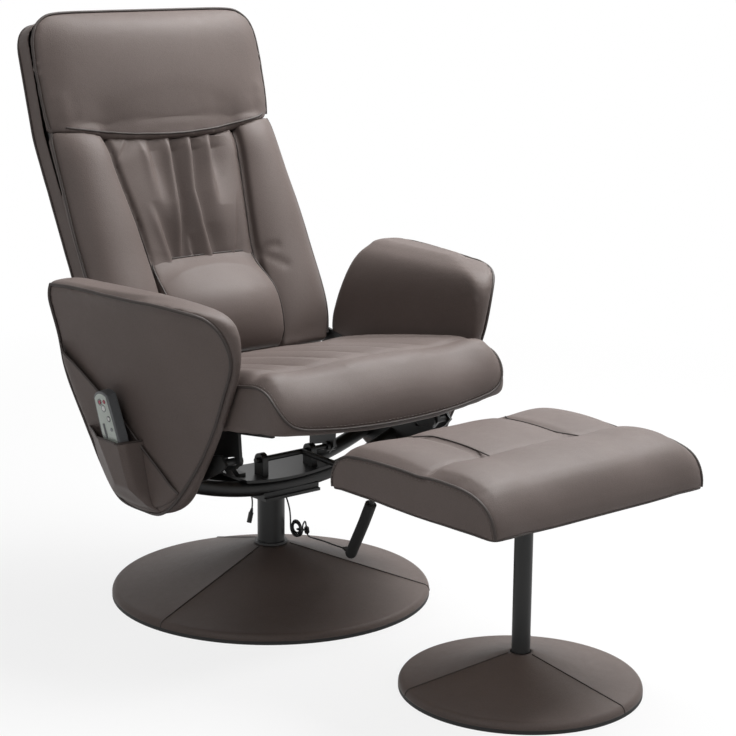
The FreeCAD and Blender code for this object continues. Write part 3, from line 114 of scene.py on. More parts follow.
def add_line(data, kind, points):
    spline = data.splines.new(kind)
    spline.points.add(len(points) - 1)
    for point, spot in zip(spline.points, points):
        point.co = (*spot, 1)
    return spline


def smooth_curve(name, points, radius):
    """NURBS curve with the given control points."""
    data = round_curve(name, radius / POINT_SIZE, 4)
    data.resolution_u = 12
    spline = add_line(data, "NURBS", points)
    for point in spline.points:
        point.radius = POINT_SIZE
    spline.order_u = 3
    spline.use_endpoint_u = True
    return bpy.data.objects.new(name, data)


def tube_line(name, line, radius, closed=False):
    """Tube along a line of close points."""
    data = round_curve(name, radius, 3)
    add_line(data, "POLY", line).use_cyclic_u = closed
    return bpy.data.objects.new(name, data)


def curve_length(piece):
    """Length of a curve's own line, measured on the mesh that it makes without a section."""
    thick = piece.data.bevel_depth
    piece.data.bevel_depth = 0
    line = bpy.data.meshes.new_from_object(piece)
    piece.data.bevel_depth = thick
    spots = [v.co.copy() for v in line.vertices]
    bpy.data.meshes.remove(line)
    return sum((b - a).length for a, b in zip(spots, spots[1:]))


# %% [markdown]
# Finishes are node trees. Two effects are shared, so each is a node group with named sockets: leather grain, which
# gives a colour, a roughness and a height, and a fine mottle, which keeps painted steel, rubber and plastic from
# being one flat colour. A group only puts out colours and values; each material keeps its own shader.


# %% Node groups
def new_group(name, inputs):
    """Group with the given inputs that puts out a colour, a roughness and a height."""
    group = bpy.data.node_groups.new(name, "ShaderNodeTree")
    for label, kind, value in inputs:
        socket = group.interface.new_socket(label, in_out="INPUT", socket_type="NodeSocket" + kind)
        socket.default_value = value
    for label, kind in (("Colour", "Color"), ("Roughness", "Float"), ("Height", "Float")):
        group.interface.new_socket(label, in_out="OUTPUT", socket_type="NodeSocket" + kind)
    return group, group.nodes.new("NodeGroupInput"), group.nodes.new("NodeGroupOutput")


def add(tree, kind, links=(), **values):
    """Adds a node; links are (input name or number, output socket), values set properties or inputs."""
    node = tree.nodes.new("ShaderNode" + kind)
    for key, value in values.items():
        if hasattr(node, key):
            setattr(node, key, value)
        else:
            node.inputs[key.replace("_", " ")].default_value = value
    for key, socket in links:
        tree.links.new(socket, node.inputs[key])
    return node


def noise(tree, spot, **values):
    return add(tree, "TexNoise", [("Vector", spot)], **values).outputs["Fac"]


def combine(tree, operation, *sockets):
    """What a maths node makes of the given sockets."""
    return add(tree, "Math", enumerate(sockets), operation=operation).outputs[0]


def ranged(tree, socket, low, high):
    """A value from 0 to 1, mapped to a range."""
    return add(tree, "MapRange", [("Value", socket)], To_Min=low, To_Max=high).outputs[0]


CREASE_WEIGHT = 1.6


def leather_grain_group():
    group, given, result = new_group(
        "leather_grain", [("Colour", "Color", (0.09, 0.07, 0.06, 1)), ("Grain", "Float", 620.0)])
    spot = add(group, "TexCoord").outputs["Object"]
    pebble = add(group, "TexVoronoi", [("Vector", spot), ("Scale", given.outputs["Grain"])],
                 feature="SMOOTH_F1", Smoothness=0.6)
    pores = noise(group, spot, Scale=1500.0, Detail=3.0)
    cloud = noise(group, spot, Scale=9.0, Detail=4.0)
    creases = noise(group, spot, Scale=70.0, Detail=5.0, Roughness=0.6)
    tone = ranged(group, cloud, 0.86, 1.14)
    speck = ranged(group, pebble.outputs["Distance"], 1.05, 0.86)
    both = combine(group, "MULTIPLY", tone, speck)
    mixed = add(group, "VectorMath", [(0, given.outputs["Colour"]), ("Scale", both)], operation="SCALE")
    group.links.new(mixed.outputs[0], result.inputs["Colour"])
    group.links.new(ranged(group, creases, 0.48, 0.64), result.inputs["Roughness"])
    fine = combine(group, "SUBTRACT", pebble.outputs["Distance"], pores)
    worn = add(group, "Math", [(0, creases), (2, fine)], operation="MULTIPLY_ADD")
    worn.inputs[1].default_value = CREASE_WEIGHT
    group.links.new(worn.outputs[0], result.inputs["Height"])
    return group


def mottle_group():
    group, given, result = new_group(
        "fine_mottle", [("Colour", "Color", (0.02, 0.02, 0.02, 1)), ("Scale", "Float", 300.0),
                        ("Rough low", "Float", 0.3), ("Rough high", "Float", 0.5)])
    spot = add(group, "TexCoord").outputs["Object"]
    fine = add(group, "TexNoise", [("Vector", spot), ("Scale", given.outputs["Scale"])], Detail=4.0).outputs["Fac"]
    broad = noise(group, spot, Scale=14.0, Detail=3.0)
    tone = ranged(group, broad, 0.8, 1.2)
    mixed = add(group, "VectorMath", [(0, given.outputs["Colour"]), ("Scale", tone)], operation="SCALE")
    group.links.new(mixed.outputs[0], result.inputs["Colour"])
    rough = add(group, "MapRange", [("Value", fine)])
    group.links.new(given.outputs["Rough low"], rough.inputs["To Min"])
    group.links.new(given.outputs["Rough high"], rough.inputs["To Max"])
    group.links.new(rough.outputs[0], result.inputs["Roughness"])
    group.links.new(fine, result.inputs["Height"])
    return group


LEATHER_GRAIN = leather_grain_group()
FINE_MOTTLE = mottle_group()
print("node groups:", LEATHER_GRAIN.name, FINE_MOTTLE.name)

# %% [markdown]
# The leather is a coated one: satin, dark taupe, with a pebble finer than a millimetre and slow changes of tone.
# Piping and thread are darker or lighter cuts of the same colour. Steel tubes are powder-coated black.


# %% Finishes
def finish_of(name, group, colour, bump, specular=0.5, metallic=0.0, **values):
    """Material with a shared effect; bump is the height of its relief in metres."""
    finish = bpy.data.materials.new(name)
    finish.use_nodes = True
    tree = finish.node_tree
    shader = tree.nodes["Principled BSDF"]
    effect = add(tree, "Group", node_tree=group)
    for key, value in dict(values, Colour=(*colour, 1)).items():
        effect.inputs[key.replace("_", " ")].default_value = value
    relief = add(tree, "Bump", [("Height", effect.outputs["Height"])], Strength=0.5, Distance=bump)
    tree.links.new(effect.outputs["Colour"], shader.inputs["Base Color"])
    tree.links.new(effect.outputs["Roughness"], shader.inputs["Roughness"])
    tree.links.new(relief.outputs["Normal"], shader.inputs["Normal"])
    shader.inputs["Specular IOR Level"].default_value = specular
    shader.inputs["Metallic"].default_value = metallic
    finish.diffuse_color = (*colour, 1)
    return finish


def mottled(name, colour, bump, scale, rough, specular=0.5, metallic=0.0):
    """Finish of one plain stuff: paint, rubber, plastic, wood or thread."""
    low, high = rough
    return finish_of(name, FINE_MOTTLE, colour, bump, specular, metallic, Scale=scale, Rough_low=low, Rough_high=high)


LEATHER_BUMP = 0.00025
taupe_leather = finish_of("taupe_leather", LEATHER_GRAIN, (0.112, 0.088, 0.080), LEATHER_BUMP, specular=0.24)
cover_leather = finish_of("cover_leather", LEATHER_GRAIN, (0.104, 0.081, 0.073), LEATHER_BUMP, specular=0.22,
                          Grain=560.0)
piping_leather = finish_of("piping_leather", LEATHER_GRAIN, (0.036, 0.027, 0.024), 0.0002, specular=0.35,
                           Grain=900.0)
PLAIN = {
    "seam_thread": ((0.10, 0.08, 0.07), 0.0001, 2500.0, (0.5, 0.7)),
    "black_rubber": ((0.012, 0.012, 0.012), 0.0002, 1200.0, (0.6, 0.8), 0.35),
    "black_steel": ((0.010, 0.010, 0.010), 0.00008, 1800.0, (0.32, 0.5), 0.38),
    "bolt_steel": ((0.34, 0.34, 0.35), 0.00005, 900.0, (0.25, 0.45), 0.5, 1.0),
    "dark_plastic": ((0.022, 0.022, 0.023), 0.0001, 1400.0, (0.4, 0.55)),
    "white_nylon": ((0.62, 0.61, 0.56), 0.0001, 900.0, (0.4, 0.55)),
    "lead_skin": ((0.014, 0.014, 0.015), 0.0001, 1500.0, (0.35, 0.5)),
    "plywood": ((0.42, 0.28, 0.16), 0.0003, 120.0, (0.6, 0.8)),
    "charcoal_case": ((0.085, 0.088, 0.092), 0.0001, 1600.0, (0.35, 0.5)),
    "pale_face": ((0.46, 0.50, 0.46), 0.00004, 1600.0, (0.35, 0.5)),
    "key_red": ((0.33, 0.03, 0.06), 0.00004, 1600.0, (0.25, 0.4)),
    "key_white": ((0.72, 0.72, 0.70), 0.00004, 1600.0, (0.25, 0.4)),
    "key_grey": ((0.20, 0.21, 0.22), 0.00004, 1600.0, (0.3, 0.45)),
}
plain = {name: mottled(name, *values) for name, values in PLAIN.items()}
print("finishes:", len(bpy.data.materials))

# %% [markdown]
# Leads hang and lie under their own weight, so each is one smooth NURBS curve whose control points repeat the
# route of the solid lead. Order 3 rounds the corners, and the end points hold the curve to its two ends. The
# bundled lead is a single curve: it leaves the hub, winds through its loops and comes out again.

# %% Leads
LEAD_RADIUS = 0.0014


def lead_points(rows):
    return [Vector(row) / 1000 for row in rows]


socket_route = lead_points([
    (-20, 89.3, 323.7), (-18.5, 91, 300), (-13, 90.5, 275), (-6, 90, 249), (-2, 89.5, 224), (5, 90, 199),
    (14, 90.5, 175), (23, 90, 154), (27.5, 89.5, 138), (26.4, 90, 124),
])
tail_route = lead_points([
    (70, -14, 96), (75, -9, 88.5), (82, -6, 82.3), (91, -6, 78.3), (99, -10.5, 75.2), (105.5, -18, 72.6),
    (111.5, -27.5, 69.6), (118, -37.5, 66.6), (124.5, -47, 63.9),
])
COIL_CENTRE = Vector((34, -27, 113.2)) / 1000
COIL_RADIUS = 0.015
COIL_PITCH = 0.0034
COIL_STEPS = 8
COIL_BULGE = 1.013


def coil_route():
    """Control points round the loops of the bundled lead: two layers, winding in and out again."""
    spots = []
    y = COIL_RADIUS
    across = 0.0
    side = -1
    half_turns = [COIL_RADIUS - COIL_PITCH / 2 * i for i in range(4)]
    half_turns += [COIL_RADIUS - COIL_PITCH / 2 * 4] + half_turns[::-1]
    for number, radius in enumerate(half_turns):
        middle = y + side * radius
        climb = COIL_PITCH if number == 4 else 0.0
        start_angle = 0 if side < 0 else pi
        bulge = radius * COIL_BULGE
        for step in range(COIL_STEPS):
            share = (step + 0.5) / COIL_STEPS
            angle = start_angle - pi * share
            offset = Vector((across + climb * share, middle + bulge * cos(angle), bulge * sin(angle)))
            spots.append(COIL_CENTRE + offset)
        y = middle + side * radius
        across += climb
        side = -side
    return spots


harness_route = lead_points([(34, 8, 186.1), (34.6, 6, 172), (36, -1, 157), (35, -9, 142), (34.3, -11.6, 127)])
harness_route += coil_route()
harness_route += lead_points([
    (37.4, -42, 113.2), (37.4, -42, 121.2), (42.5, -40, 126), (50, -34, 124.5), (56, -28, 117), (61, -23, 109.5),
])
harness_route += tail_route
socket_lead = link(smooth_curve("socket_lead_drop", socket_route, LEAD_RADIUS), "seat", plain["lead_skin"])
harness = link(smooth_curve("harness_bundle", harness_route, LEAD_RADIUS), "carriage", plain["lead_skin"])
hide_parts("socket_lead")
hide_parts("harness_lead", "harness_hank", "harness_join", "tail_lead")
curve_length(socket_lead)
curve_length(harness)
print("leads:", [round(curve_length(piece), 3) for piece in (socket_lead, harness)])

# %% [markdown]
# The studio is a white sweep and three large soft lamps. The background is white to the camera, and to reflections,
# but adds little light of its own. The floor glows white far out, and keeps a faint shadow under the two bases.


# %% Studio
def blank_tree(owner):
    owner.use_nodes = True
    owner.node_tree.nodes.clear()
    return owner.node_tree


def seen_plainly(tree):
    """1 for rays from the camera, through glass or off a shiny surface, which see the white background."""
    path = add(tree, "LightPath")
    straight = combine(tree, "MAXIMUM", path.outputs["Is Camera Ray"], path.outputs["Is Transmission Ray"])
    return combine(tree, "MAXIMUM", straight, path.outputs["Is Glossy Ray"])


scene.view_settings.view_transform = "Standard"
scene.world = bpy.data.worlds.new("studio_air")
air = blank_tree(scene.world)
seen = seen_plainly(air)
lit = add(air, "Background", Color=(1, 1, 1, 1), Strength=0.08)
white = add(air, "Background", Color=(1, 1, 1, 1), Strength=1.0)
choice = add(air, "MixShader", [(0, seen), (1, lit.outputs[0]), (2, white.outputs[0])])
add(air, "OutputWorld", [("Surface", choice.outputs[0])])

FLOOR_REACH = 60.0
floor_mesh = bpy.data.meshes.new("studio_floor")
corners = [(-1, -1), (1, -1), (1, 1), (-1, 1)]
floor_mesh.from_pydata([(x * FLOOR_REACH, y * FLOOR_REACH, 0) for x, y in corners], [], [(0, 1, 2, 3)])
floor = bpy.data.objects.new("studio_floor", floor_mesh)
scene.collection.objects.link(floor)
floor_finish = bpy.data.materials.new("pale_floor")
ground = blank_tree(floor_finish)
matt = add(ground, "BsdfDiffuse", Color=(0.66, 0.66, 0.66, 1))
glow = add(ground, "Emission", Color=(1, 1, 1, 1), Strength=1.0)
floor_spot = add(ground, "TexCoord").outputs["Object"]
away = add(ground, "VectorMath", [(0, floor_spot)], operation="LENGTH")
spread = add(ground, "MapRange", [("Value", away.outputs["Value"])],
             From_Min=0.5, From_Max=2.4, To_Min=0.83, To_Max=1.0)
share = combine(ground, "MULTIPLY", seen_plainly(ground), spread.outputs[0])
mixed = add(ground, "MixShader", [(0, share), (1, matt.outputs[0]), (2, glow.outputs[0])])
add(ground, "OutputMaterial", [("Surface", mixed.outputs[0])])
floor.data.materials.append(floor_finish)


def soft_lamp(name, at, target, size, power):
    data = bpy.data.lights.new(name, "AREA")
    data.shape = "RECTANGLE"
    data.size, data.size_y = size
    data.energy = power
    lamp = bpy.data.objects.new(name, data)
    scene.collection.objects.link(lamp)
    lamp.location = at
    lamp.rotation_euler = (Vector(target) - Vector(at)).to_track_quat("-Z", "Y").to_euler()


soft_lamp("top_lamp", (1.4, -0.15, 2.9), (0.05, -0.25, 0.4), (2.0, 2.0), 168)
soft_lamp("key_lamp", (1.0, -2.7, 2.3), (0, -0.1, 0.5), (1.4, 1.4), 21)
soft_lamp("fill_lamp", (-2.4, -1.0, 2.0), (-0.1, 0, 0.4), (1.4, 1.4), 19)
print("studio lamps:", len(bpy.data.lights))

# %% [markdown]
# Upholstery starts from the solid cushions: a copy is remeshed to even squares, relaxed, and blown up a little as
# cloth with pressure, so that it gets the round, filled look of foam under leather. The swelling is capped, so the
# pad keeps its place, and evened out over its neighbours, because this leather is taut and hardly wrinkles. Seams
# are pressed in afterwards, because remeshing would wipe them out.


# %% Padding helpers
def evaluated_mesh(piece):
    view = bpy.context.evaluated_depsgraph_get()
    return bpy.data.meshes.new_from_object(piece.evaluated_get(view))


def apply_all(piece):
    """Gives a piece the mesh that its modifiers make."""
    old = piece.data
    made = evaluated_mesh(piece)
    piece.modifiers.clear()
    piece.data = made
    bpy.data.meshes.remove(old)


def shade_smooth(mesh):
    mesh.polygons.foreach_set("use_smooth", [True] * len(mesh.polygons))
    mesh.update()


def read_rows(rows, label):
    flat = np.empty(len(rows) * 3, np.float32)
    rows.foreach_get(label, flat)
    return flat.reshape(-1, 3).astype(np.float64)


def spots_of(mesh):
    return read_rows(mesh.vertices, "co")


def normals_of(mesh):
    return read_rows(mesh.vertex_normals, "vector")


def set_spots(mesh, spots):
    mesh.vertices.foreach_set("co", spots.astype(np.float32).ravel())
    mesh.update()


def tell(piece):
    print(piece.name, "has", len(piece.data.vertices), "points")


def push_out(piece, move):
    """Moves each point along its normal."""
    set_spots(piece.data, spots_of(piece.data) + normals_of(piece.data) * move[:, None])


def relaxed_copy(node, name, voxel, rounds):
    """Copy of a solid, remeshed to even squares and smoothed."""
    mesh = nodes[node].data.copy()
    mesh.name = name
    mesh.materials.clear()
    piece = bpy.data.objects.new(name, mesh)
    scene.collection.objects.link(piece)
    remesh = piece.modifiers.new("even_squares", "REMESH")
    remesh.mode = "VOXEL"
    remesh.voxel_size = voxel
    relax = piece.modifiers.new("relax", "SMOOTH")
    relax.factor = 0.5
    relax.iterations = rounds
    apply_all(piece)
    return piece


EVEN_ROUNDS = 60
CLOTH = {"use_pressure": True, "uniform_pressure_force": 4.0, "mass": 0.3, "tension_stiffness": 20,
         "compression_stiffness": 20, "bending_stiffness": 2.0}
CLOTH_FRAMES = 20
QUICK_SWELL = 0.6


def evened(mesh, values, rounds=EVEN_ROUNDS):
    """Averages one value a point with those of its neighbours, round by round."""
    ends = np.empty(len(mesh.edges) * 2, np.int32)
    mesh.edges.foreach_get("vertices", ends)
    one, other = ends[0::2], ends[1::2]
    size = len(values)
    count = np.bincount(ends, minlength=size)
    for _ in range(rounds):
        around = np.bincount(one, values[other], size) + np.bincount(other, values[one], size)
        values = (values + around / count) / 2
    return values


def blow_up(piece, cap, keep):
    """Swells a pad as cloth with air in it; keep(spots) is the share of the swelling that each point takes."""
    before = spots_of(piece.data)
    outs = normals_of(piece.data)
    swell = np.full(len(before), cap * QUICK_SWELL)
    cloth = piece.modifiers.new("air", "CLOTH")
    for key, value in CLOTH.items():
        setattr(cloth.settings, key, value)
    cloth.settings.effector_weights.gravity = 0
    cloth.point_cache.frame_start = 1
    cloth.point_cache.frame_end = CLOTH_FRAMES
    for number in range(1, CLOTH_FRAMES + 1):
        scene.frame_set(number)
    blown = evaluated_mesh(piece)
    piece.modifiers.clear()
    swell = np.einsum("ij,ij->i", spots_of(blown) - before, outs)
    bpy.data.meshes.remove(blown)
    scene.frame_set(1)
    swell = evened(piece.data, np.clip(swell, 0, cap)) * keep(before)
    push_out(piece, swell)


def finish_pad(piece):
    """One subdivision and smooth shading."""
    finer = piece.modifiers.new("finer", "SUBSURF")
    finer.levels = 1
    finer.render_levels = 1
    apply_all(piece)
    shade_smooth(piece.data)


def dress(piece, node, body):
    """Puts a leather piece in the place of a CAD node."""
    link(piece, body, taupe_leather)
    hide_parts(node)


# %% [markdown]
# A seam is a line on the leather. Its few points are joined by a smooth curve and laid on the surface at the nearest
# spot. The same line then presses a groove into the pad, carries a round of piping, or a row of stitches beside it.


# %% Seam helpers
def through(points, step=0.006):
    """Evenly spaced points on a smooth curve through the given ones."""
    spots = [Vector(p) for p in points]
    spots = [spots[0] * 2 - spots[1]] + spots + [spots[-1] * 2 - spots[-2]]
    line = []
    for a, b, c, d in zip(spots, spots[1:], spots[2:], spots[3:]):
        count = max(2, int((c - b).length / step))
        for i in range(count):
            t = i / count
            bend, twist = 2 * a - 5 * b + 4 * c - d, 3 * b - a - 3 * c + d
            line.append(0.5 * (2 * b + (c - a) * t + bend * t * t + twist * t ** 3))
    line.append(spots[-2])
    return line


def softened(line):
    """The line with its corners rounded off and its ends held."""
    return line[:1] + [(a + 2 * b + c) / 4 for a, b, c in zip(line, line[1:], line[2:])] + line[-1:]


def surface_of(piece):
    return BVHTree.FromPolygons([v.co for v in piece.data.vertices], [p.vertices for p in piece.data.polygons])


def lay(piece, line, lift=0.0):
    """The nearest spots on a piece's surface to a line, and the normals there."""
    tree = surface_of(piece)
    spots, outs = [], []
    for point in line:
        spot, normal, _, _ = tree.find_nearest(point)
        spots.append(spot)
        outs.append(normal)
    for _ in range(3):
        spots = softened(spots)
        outs = [n.normalized() for n in softened(outs)]
    return [s + n * lift for s, n in zip(spots, outs)], outs


def near(spots, line):
    """Distance of each point from a line, taken from its points."""
    marks = np.array([tuple(p) for p in line])
    least = np.full(len(spots), 1e9)
    for start in range(0, len(marks), 64):
        block = marks[start:start + 64]
        apart = np.linalg.norm(spots[:, None, :] - block[None], axis=2).min(axis=1)
        least = np.minimum(least, apart)
    return least


def press_seam(piece, line, depth, width):
    """Presses a groove into a pad along a line on its surface."""
    away = near(spots_of(piece.data), line)
    push_out(piece, -depth * np.exp(-(away / width) ** 2))


def welt(name, line, radius, body, closed=False):
    """Round of piping leather along a line."""
    return link(tube_line(name, line, radius, closed), body, piping_leather)


FINE_WELT = 0.0011
FINE_SINK = 0.0004


def piping(name, piece, points, body, radius=0.0026, sink=0.0006, closed=False):
    """Covered cord sewn along an edge of a pad."""
    line = through(points + points[:1] if closed else points)
    spots, _ = lay(piece, line, radius - sink)
    if closed:
        spots = spots[:-1]
    return welt(name, spots, radius, body, closed)


THREAD_RADIUS = 0.00055
THREAD_LIFT = 0.0004


def stitches(name, piece, points, body, offset=0.0, length=0.005, gap=0.003):
    """Row of short threads, laid beside a seam on the surface."""
    line = through(points, 0.001)
    spots, outs = lay(piece, line, THREAD_LIFT)
    data = round_curve(name, THREAD_RADIUS, 1)
    run = 0.0
    current = []
    for i in range(1, len(spots)):
        along = spots[i] - spots[i - 1]
        aside_step = along.cross(outs[i]).normalized() * offset
        run += along.length
        if run % (length + gap) < length:
            current.append(spots[i] + aside_step)
            continue
        if len(current) > 1:
            add_line(data, "POLY", current)
        current = []
    return link(bpy.data.objects.new(name, data), body, plain["seam_thread"])


def metres(rows):
    """Points given in millimetres."""
    return [tuple(v / 1000 for v in row) for row in rows]


def follow(pairs, at):
    """Value at a place along a list of places and values."""
    return np.interp(at, *zip(*pairs))


def fade(values, edge, width, least=0):
    """1 well inside an edge, falling to the least value at it."""
    return np.clip((edge - values) / width, least, 1)


def mirrored(points):
    return [(-x, y, z) for x, y, z in points]


SIDES = ("left", list), ("right", mirrored)


# %% [markdown]
# The back and the head are given along their two leaning planes: how far down from the bend or up from it, and how
# deep behind the front plane. These functions repeat that layout, so seams can be placed in the same terms.


# %% Back layout
BEND = (0.315, 0.800)
LOWER_LEAN = radians(27.1)
UPPER_LEAN = radians(16.0)


def on_head(x, up, depth, lean=UPPER_LEAN):
    y = BEND[0] + up * sin(lean) + depth * cos(lean)
    return x, y, BEND[1] + up * cos(lean) - depth * sin(lean)


def on_back(x, down, depth):
    return on_head(x, -down, depth, LOWER_LEAN)


def head_terms(spots, lean=UPPER_LEAN):
    """Up and depth of each point, in the head's own terms."""
    y = spots[:, 1] - BEND[0]
    z = spots[:, 2] - BEND[1]
    return y * sin(lean) + z * cos(lean), y * cos(lean) - z * sin(lean)


def back_terms(spots):
    """Down and depth of each point, in the lower back's own terms."""
    up, depth = head_terms(spots, LOWER_LEAN)
    return -up, depth


EDGE_DEPTH = 0.004
FRONT_DEPTH = 0.012
FRONT_EDGE = 0.018
FRONT_FADE = 0.012


def front_share(depth, edge=FRONT_EDGE):
    """1 on the front of a pad, fading to 0 towards its sides."""
    return fade(depth, edge, FRONT_FADE)


print("bend at", BEND)

# %% [markdown]
# The head is a rolled crown over a flat front. The leather of the front runs straight from the foot of the crown
# down to a seam that sags in the middle, so the pad's lower front is brought forward onto that straight line.

# %% Head cushion
HEAD_SEAM_DROP = 0.035
HEAD_SEAM_HALF = 0.238
CROWN_FOOT = 0.060
SEAM_ABOVE = 0.010
HEAD_MARKS = np.linspace(-0.20, 0.20, 21)
MARK_HALF = 0.012
BAND_HALF = 0.006
MOST_RAISED = 0.020
HEAD_HALF = 0.228
HEAD_FADE = 0.02
HEAD_AHEAD = np.array([0, -cos(UPPER_LEAN), sin(UPPER_LEAN)])
head = relaxed_copy("head_cushion", "head_pad", 0.006, 6)
blow_up(head, 0.012, lambda spots: front_share(head_terms(spots)[1]))


def carry_down(piece):
    """Carries the flat front of the head on past the bend, down to the sagging seam."""
    spots = spots_of(piece.data)
    down, depth = back_terms(spots)
    share = np.clip(down, 0, None) * front_share(depth) * tan(LOWER_LEAN - UPPER_LEAN)
    set_spots(piece.data, spots + share[:, None] * HEAD_AHEAD)


def seam_drop(x):
    return HEAD_SEAM_DROP * (1 - (x / HEAD_SEAM_HALF) ** 2)


def stretch_over(piece):
    """Stretches the head's leather straight from the foot of its crown to the sagging seam."""
    spots = spots_of(piece.data)
    x = spots[:, 0]
    up, depth = head_terms(spots)
    front = depth < FRONT_DEPTH
    high, low = [], []
    for mark in HEAD_MARKS:
        strip = front & (np.abs(x - mark) < MARK_HALF)
        high.append(depth[strip & (np.abs(up - CROWN_FOOT) < BAND_HALF)].mean())
        low.append(depth[strip & (np.abs(up + seam_drop(mark) - SEAM_ABOVE) < BAND_HALF)].mean())
    foot = SEAM_ABOVE - seam_drop(x)
    along = np.clip((CROWN_FOOT - up) / (CROWN_FOOT - foot), 0, 1)
    top = np.interp(x, HEAD_MARKS, high)
    line = top + (np.interp(x, HEAD_MARKS, low) - top) * along
    inside = front & (up < CROWN_FOOT) & (up > foot)
    raise_by = np.clip(depth - line, 0, MOST_RAISED) * inside * fade(np.abs(x), HEAD_HALF, HEAD_FADE)
    raise_by = evened(piece.data, raise_by, 8)
    set_spots(piece.data, spots + raise_by[:, None] * HEAD_AHEAD)


carry_down(head)
stretch_over(head)
finish_pad(head)
dress(head, "head_cushion", "back")
HEAD_EDGE = metres([(235, 4), (238, 30), (241, 90), (239, 150), (230, 182), (208, 199), (150, 204)])
head_edge = [on_head(x, up, EDGE_DEPTH) for x, up in HEAD_EDGE]
head_edge += [on_head(0, 0.2045, EDGE_DEPTH)] + mirrored(head_edge[::-1])
piping("head_piping", head, head_edge, "back")
tell(head)

# %% [markdown]
# The back cushion has two bolsters beside a gathered centre panel. The panel's folds start close together under the
# head seam and spread and die out towards the lumbar pad, so they are sums of hollows whose lines fan out. A fold is
# given by rows down the panel, its place there as a share of the panel's half width, its depths, and its width.

# %% Back cushion
back = relaxed_copy("back_cushion", "back_pad", 0.005, 5)
blow_up(back, 0.010, lambda spots: front_share(back_terms(spots)[1]))
finish_pad(back)
CENTRE_EDGE = metres([(4, 141), (25, 141), (88, 135), (192, 120), (252, 114), (292, 112), (430, 112)])
FOLDS = [
    ((0.03, 0.075), (-0.69, -0.96), (0.006, 0.0), 0.007),
    ((0.03, 0.08), (-0.54, -0.52), (0.004, 0.0), 0.005),
    ((0.03, 0.09, 0.16), (-0.41, -0.44, -0.48), (0.012, 0.008, 0.0), 0.012),
    ((0.03, 0.12, 0.20, 0.255), (-0.06, -0.15, -0.24, -0.30), (0.021, 0.022, 0.021, 0.015), 0.012),
    ((0.025, 0.14, 0.20, 0.255), (0.286, 0.15, 0.17, 0.26), (0.021, 0.021, 0.017, 0.013), 0.012),
    ((0.02, 0.08, 0.17), (0.61, 0.55, 0.50), (0.021, 0.016, 0.0), 0.012),
    ((0.025, 0.05), (0.43, 0.43), (0.006, 0.0), 0.005),
    ((0.15, 0.20, 0.255), (-0.66, -0.60, -0.53), (0.0, 0.007, 0.009), 0.010),
    ((0.215, 0.255), (-0.12, -0.10), (0.0, 0.007), 0.006),
    ((0.14, 0.255), (0.88, 0.67), (0.0, 0.005), 0.006),
]
PANEL_FADE = 0.012
FOLD_END = 0.02
LIP_HEIGHT, LIP_PLACE, LIP_WIDTH = 0.3, 1.1, 0.9
STEEP_SIDE, SLOW_SIDE = 0.6, 2.1
PINCH_TOP, PINCH_LENGTH, PINCH_LEAST = 0.028, 0.030, 0.25
CHANNEL_DEPTH, CHANNEL_WIDTH = 0.009, 0.006
CREASE_DEPTH, CREASE_WIDTH = 0.0022, 0.010


def gather(piece):
    """Sinks the channels and the folds of the centre panel; each falls off a steep lip and rises slowly."""
    spots = spots_of(piece.data)
    down, depth = back_terms(spots)
    half = follow(CENTRE_EDGE, down)
    front = depth < FRONT_DEPTH
    inside = fade(np.abs(spots[:, 0]), half, PANEL_FADE) * front
    move = np.zeros(len(spots))
    for rows, shares, depths, width in FOLDS:
        away = (spots[:, 0] - np.interp(down, rows, shares) * half) / width
        here = np.interp(down, rows, depths) * (down < rows[-1] + FOLD_END)
        lip = LIP_HEIGHT * np.exp(-((away + LIP_PLACE) / LIP_WIDTH) ** 2)
        hollow = np.exp(-(away / np.where(away < 0, STEEP_SIDE, SLOW_SIDE)) ** 2)
        move += here * (lip - hollow) * np.clip((down - PINCH_TOP) / PINCH_LENGTH, PINCH_LEAST, 1)
    channel = np.exp(-((np.abs(spots[:, 0]) - half) / CHANNEL_WIDTH) ** 2) * front
    push_out(piece, move * inside - CHANNEL_DEPTH * channel)


gather(back)
dress(back, "back_cushion", "back")
BACK_EDGE = metres([(4, 234.5), (25, 238), (90, 240), (198, 245), (298, 245), (403, 238), (430, 232)])
back_edge = [on_back(x, down, EDGE_DEPTH) for down, x in BACK_EDGE]
channel_edge = [on_back(x, down, -0.004) for down, x in CENTRE_EDGE]
BOLSTER_CREASES = [[(0.112, 0.262), (0.132, 0.258), (0.150, 0.260)], [(0.114, 0.268), (0.134, 0.280), (0.156, 0.297)]]
for points in BOLSTER_CREASES:
    crease = [on_back(x, down, -0.02) for x, down in points]
    press_seam(back, lay(back, through(crease))[0], CREASE_DEPTH, CREASE_WIDTH)
for side_name, turn_over in SIDES:
    piping("back_piping_" + side_name, back, turn_over(back_edge), "back")
    piping("channel_seam_" + side_name, back, turn_over(channel_edge), "back", FINE_WELT, FINE_SINK)
tell(back)

# %% [markdown]
# The head seam joins head and back: the piping lies along the lower edge of the head pad, and sags between its ends.

# %% Head seam
SEAM_BELOW = 0.006
SEAM_AHEAD = -0.05
SEAM_ROUNDS = 12
head_seam = [on_back(x, seam_drop(x) + SEAM_BELOW, SEAM_AHEAD) for x in np.linspace(-0.234, 0.234, 13)]
seam_line, _ = lay(head, through(head_seam))
for _ in range(SEAM_ROUNDS):
    seam_line = softened(seam_line)
seam_line, _ = lay(head, seam_line)
welt("head_seam_piping", seam_line, 0.0020, "back")
print("head seam:", len(seam_line), "points")

# %% [markdown]
# The lumbar pad is a small bolster of its own at the foot of the centre panel, piped along its sides and its top.

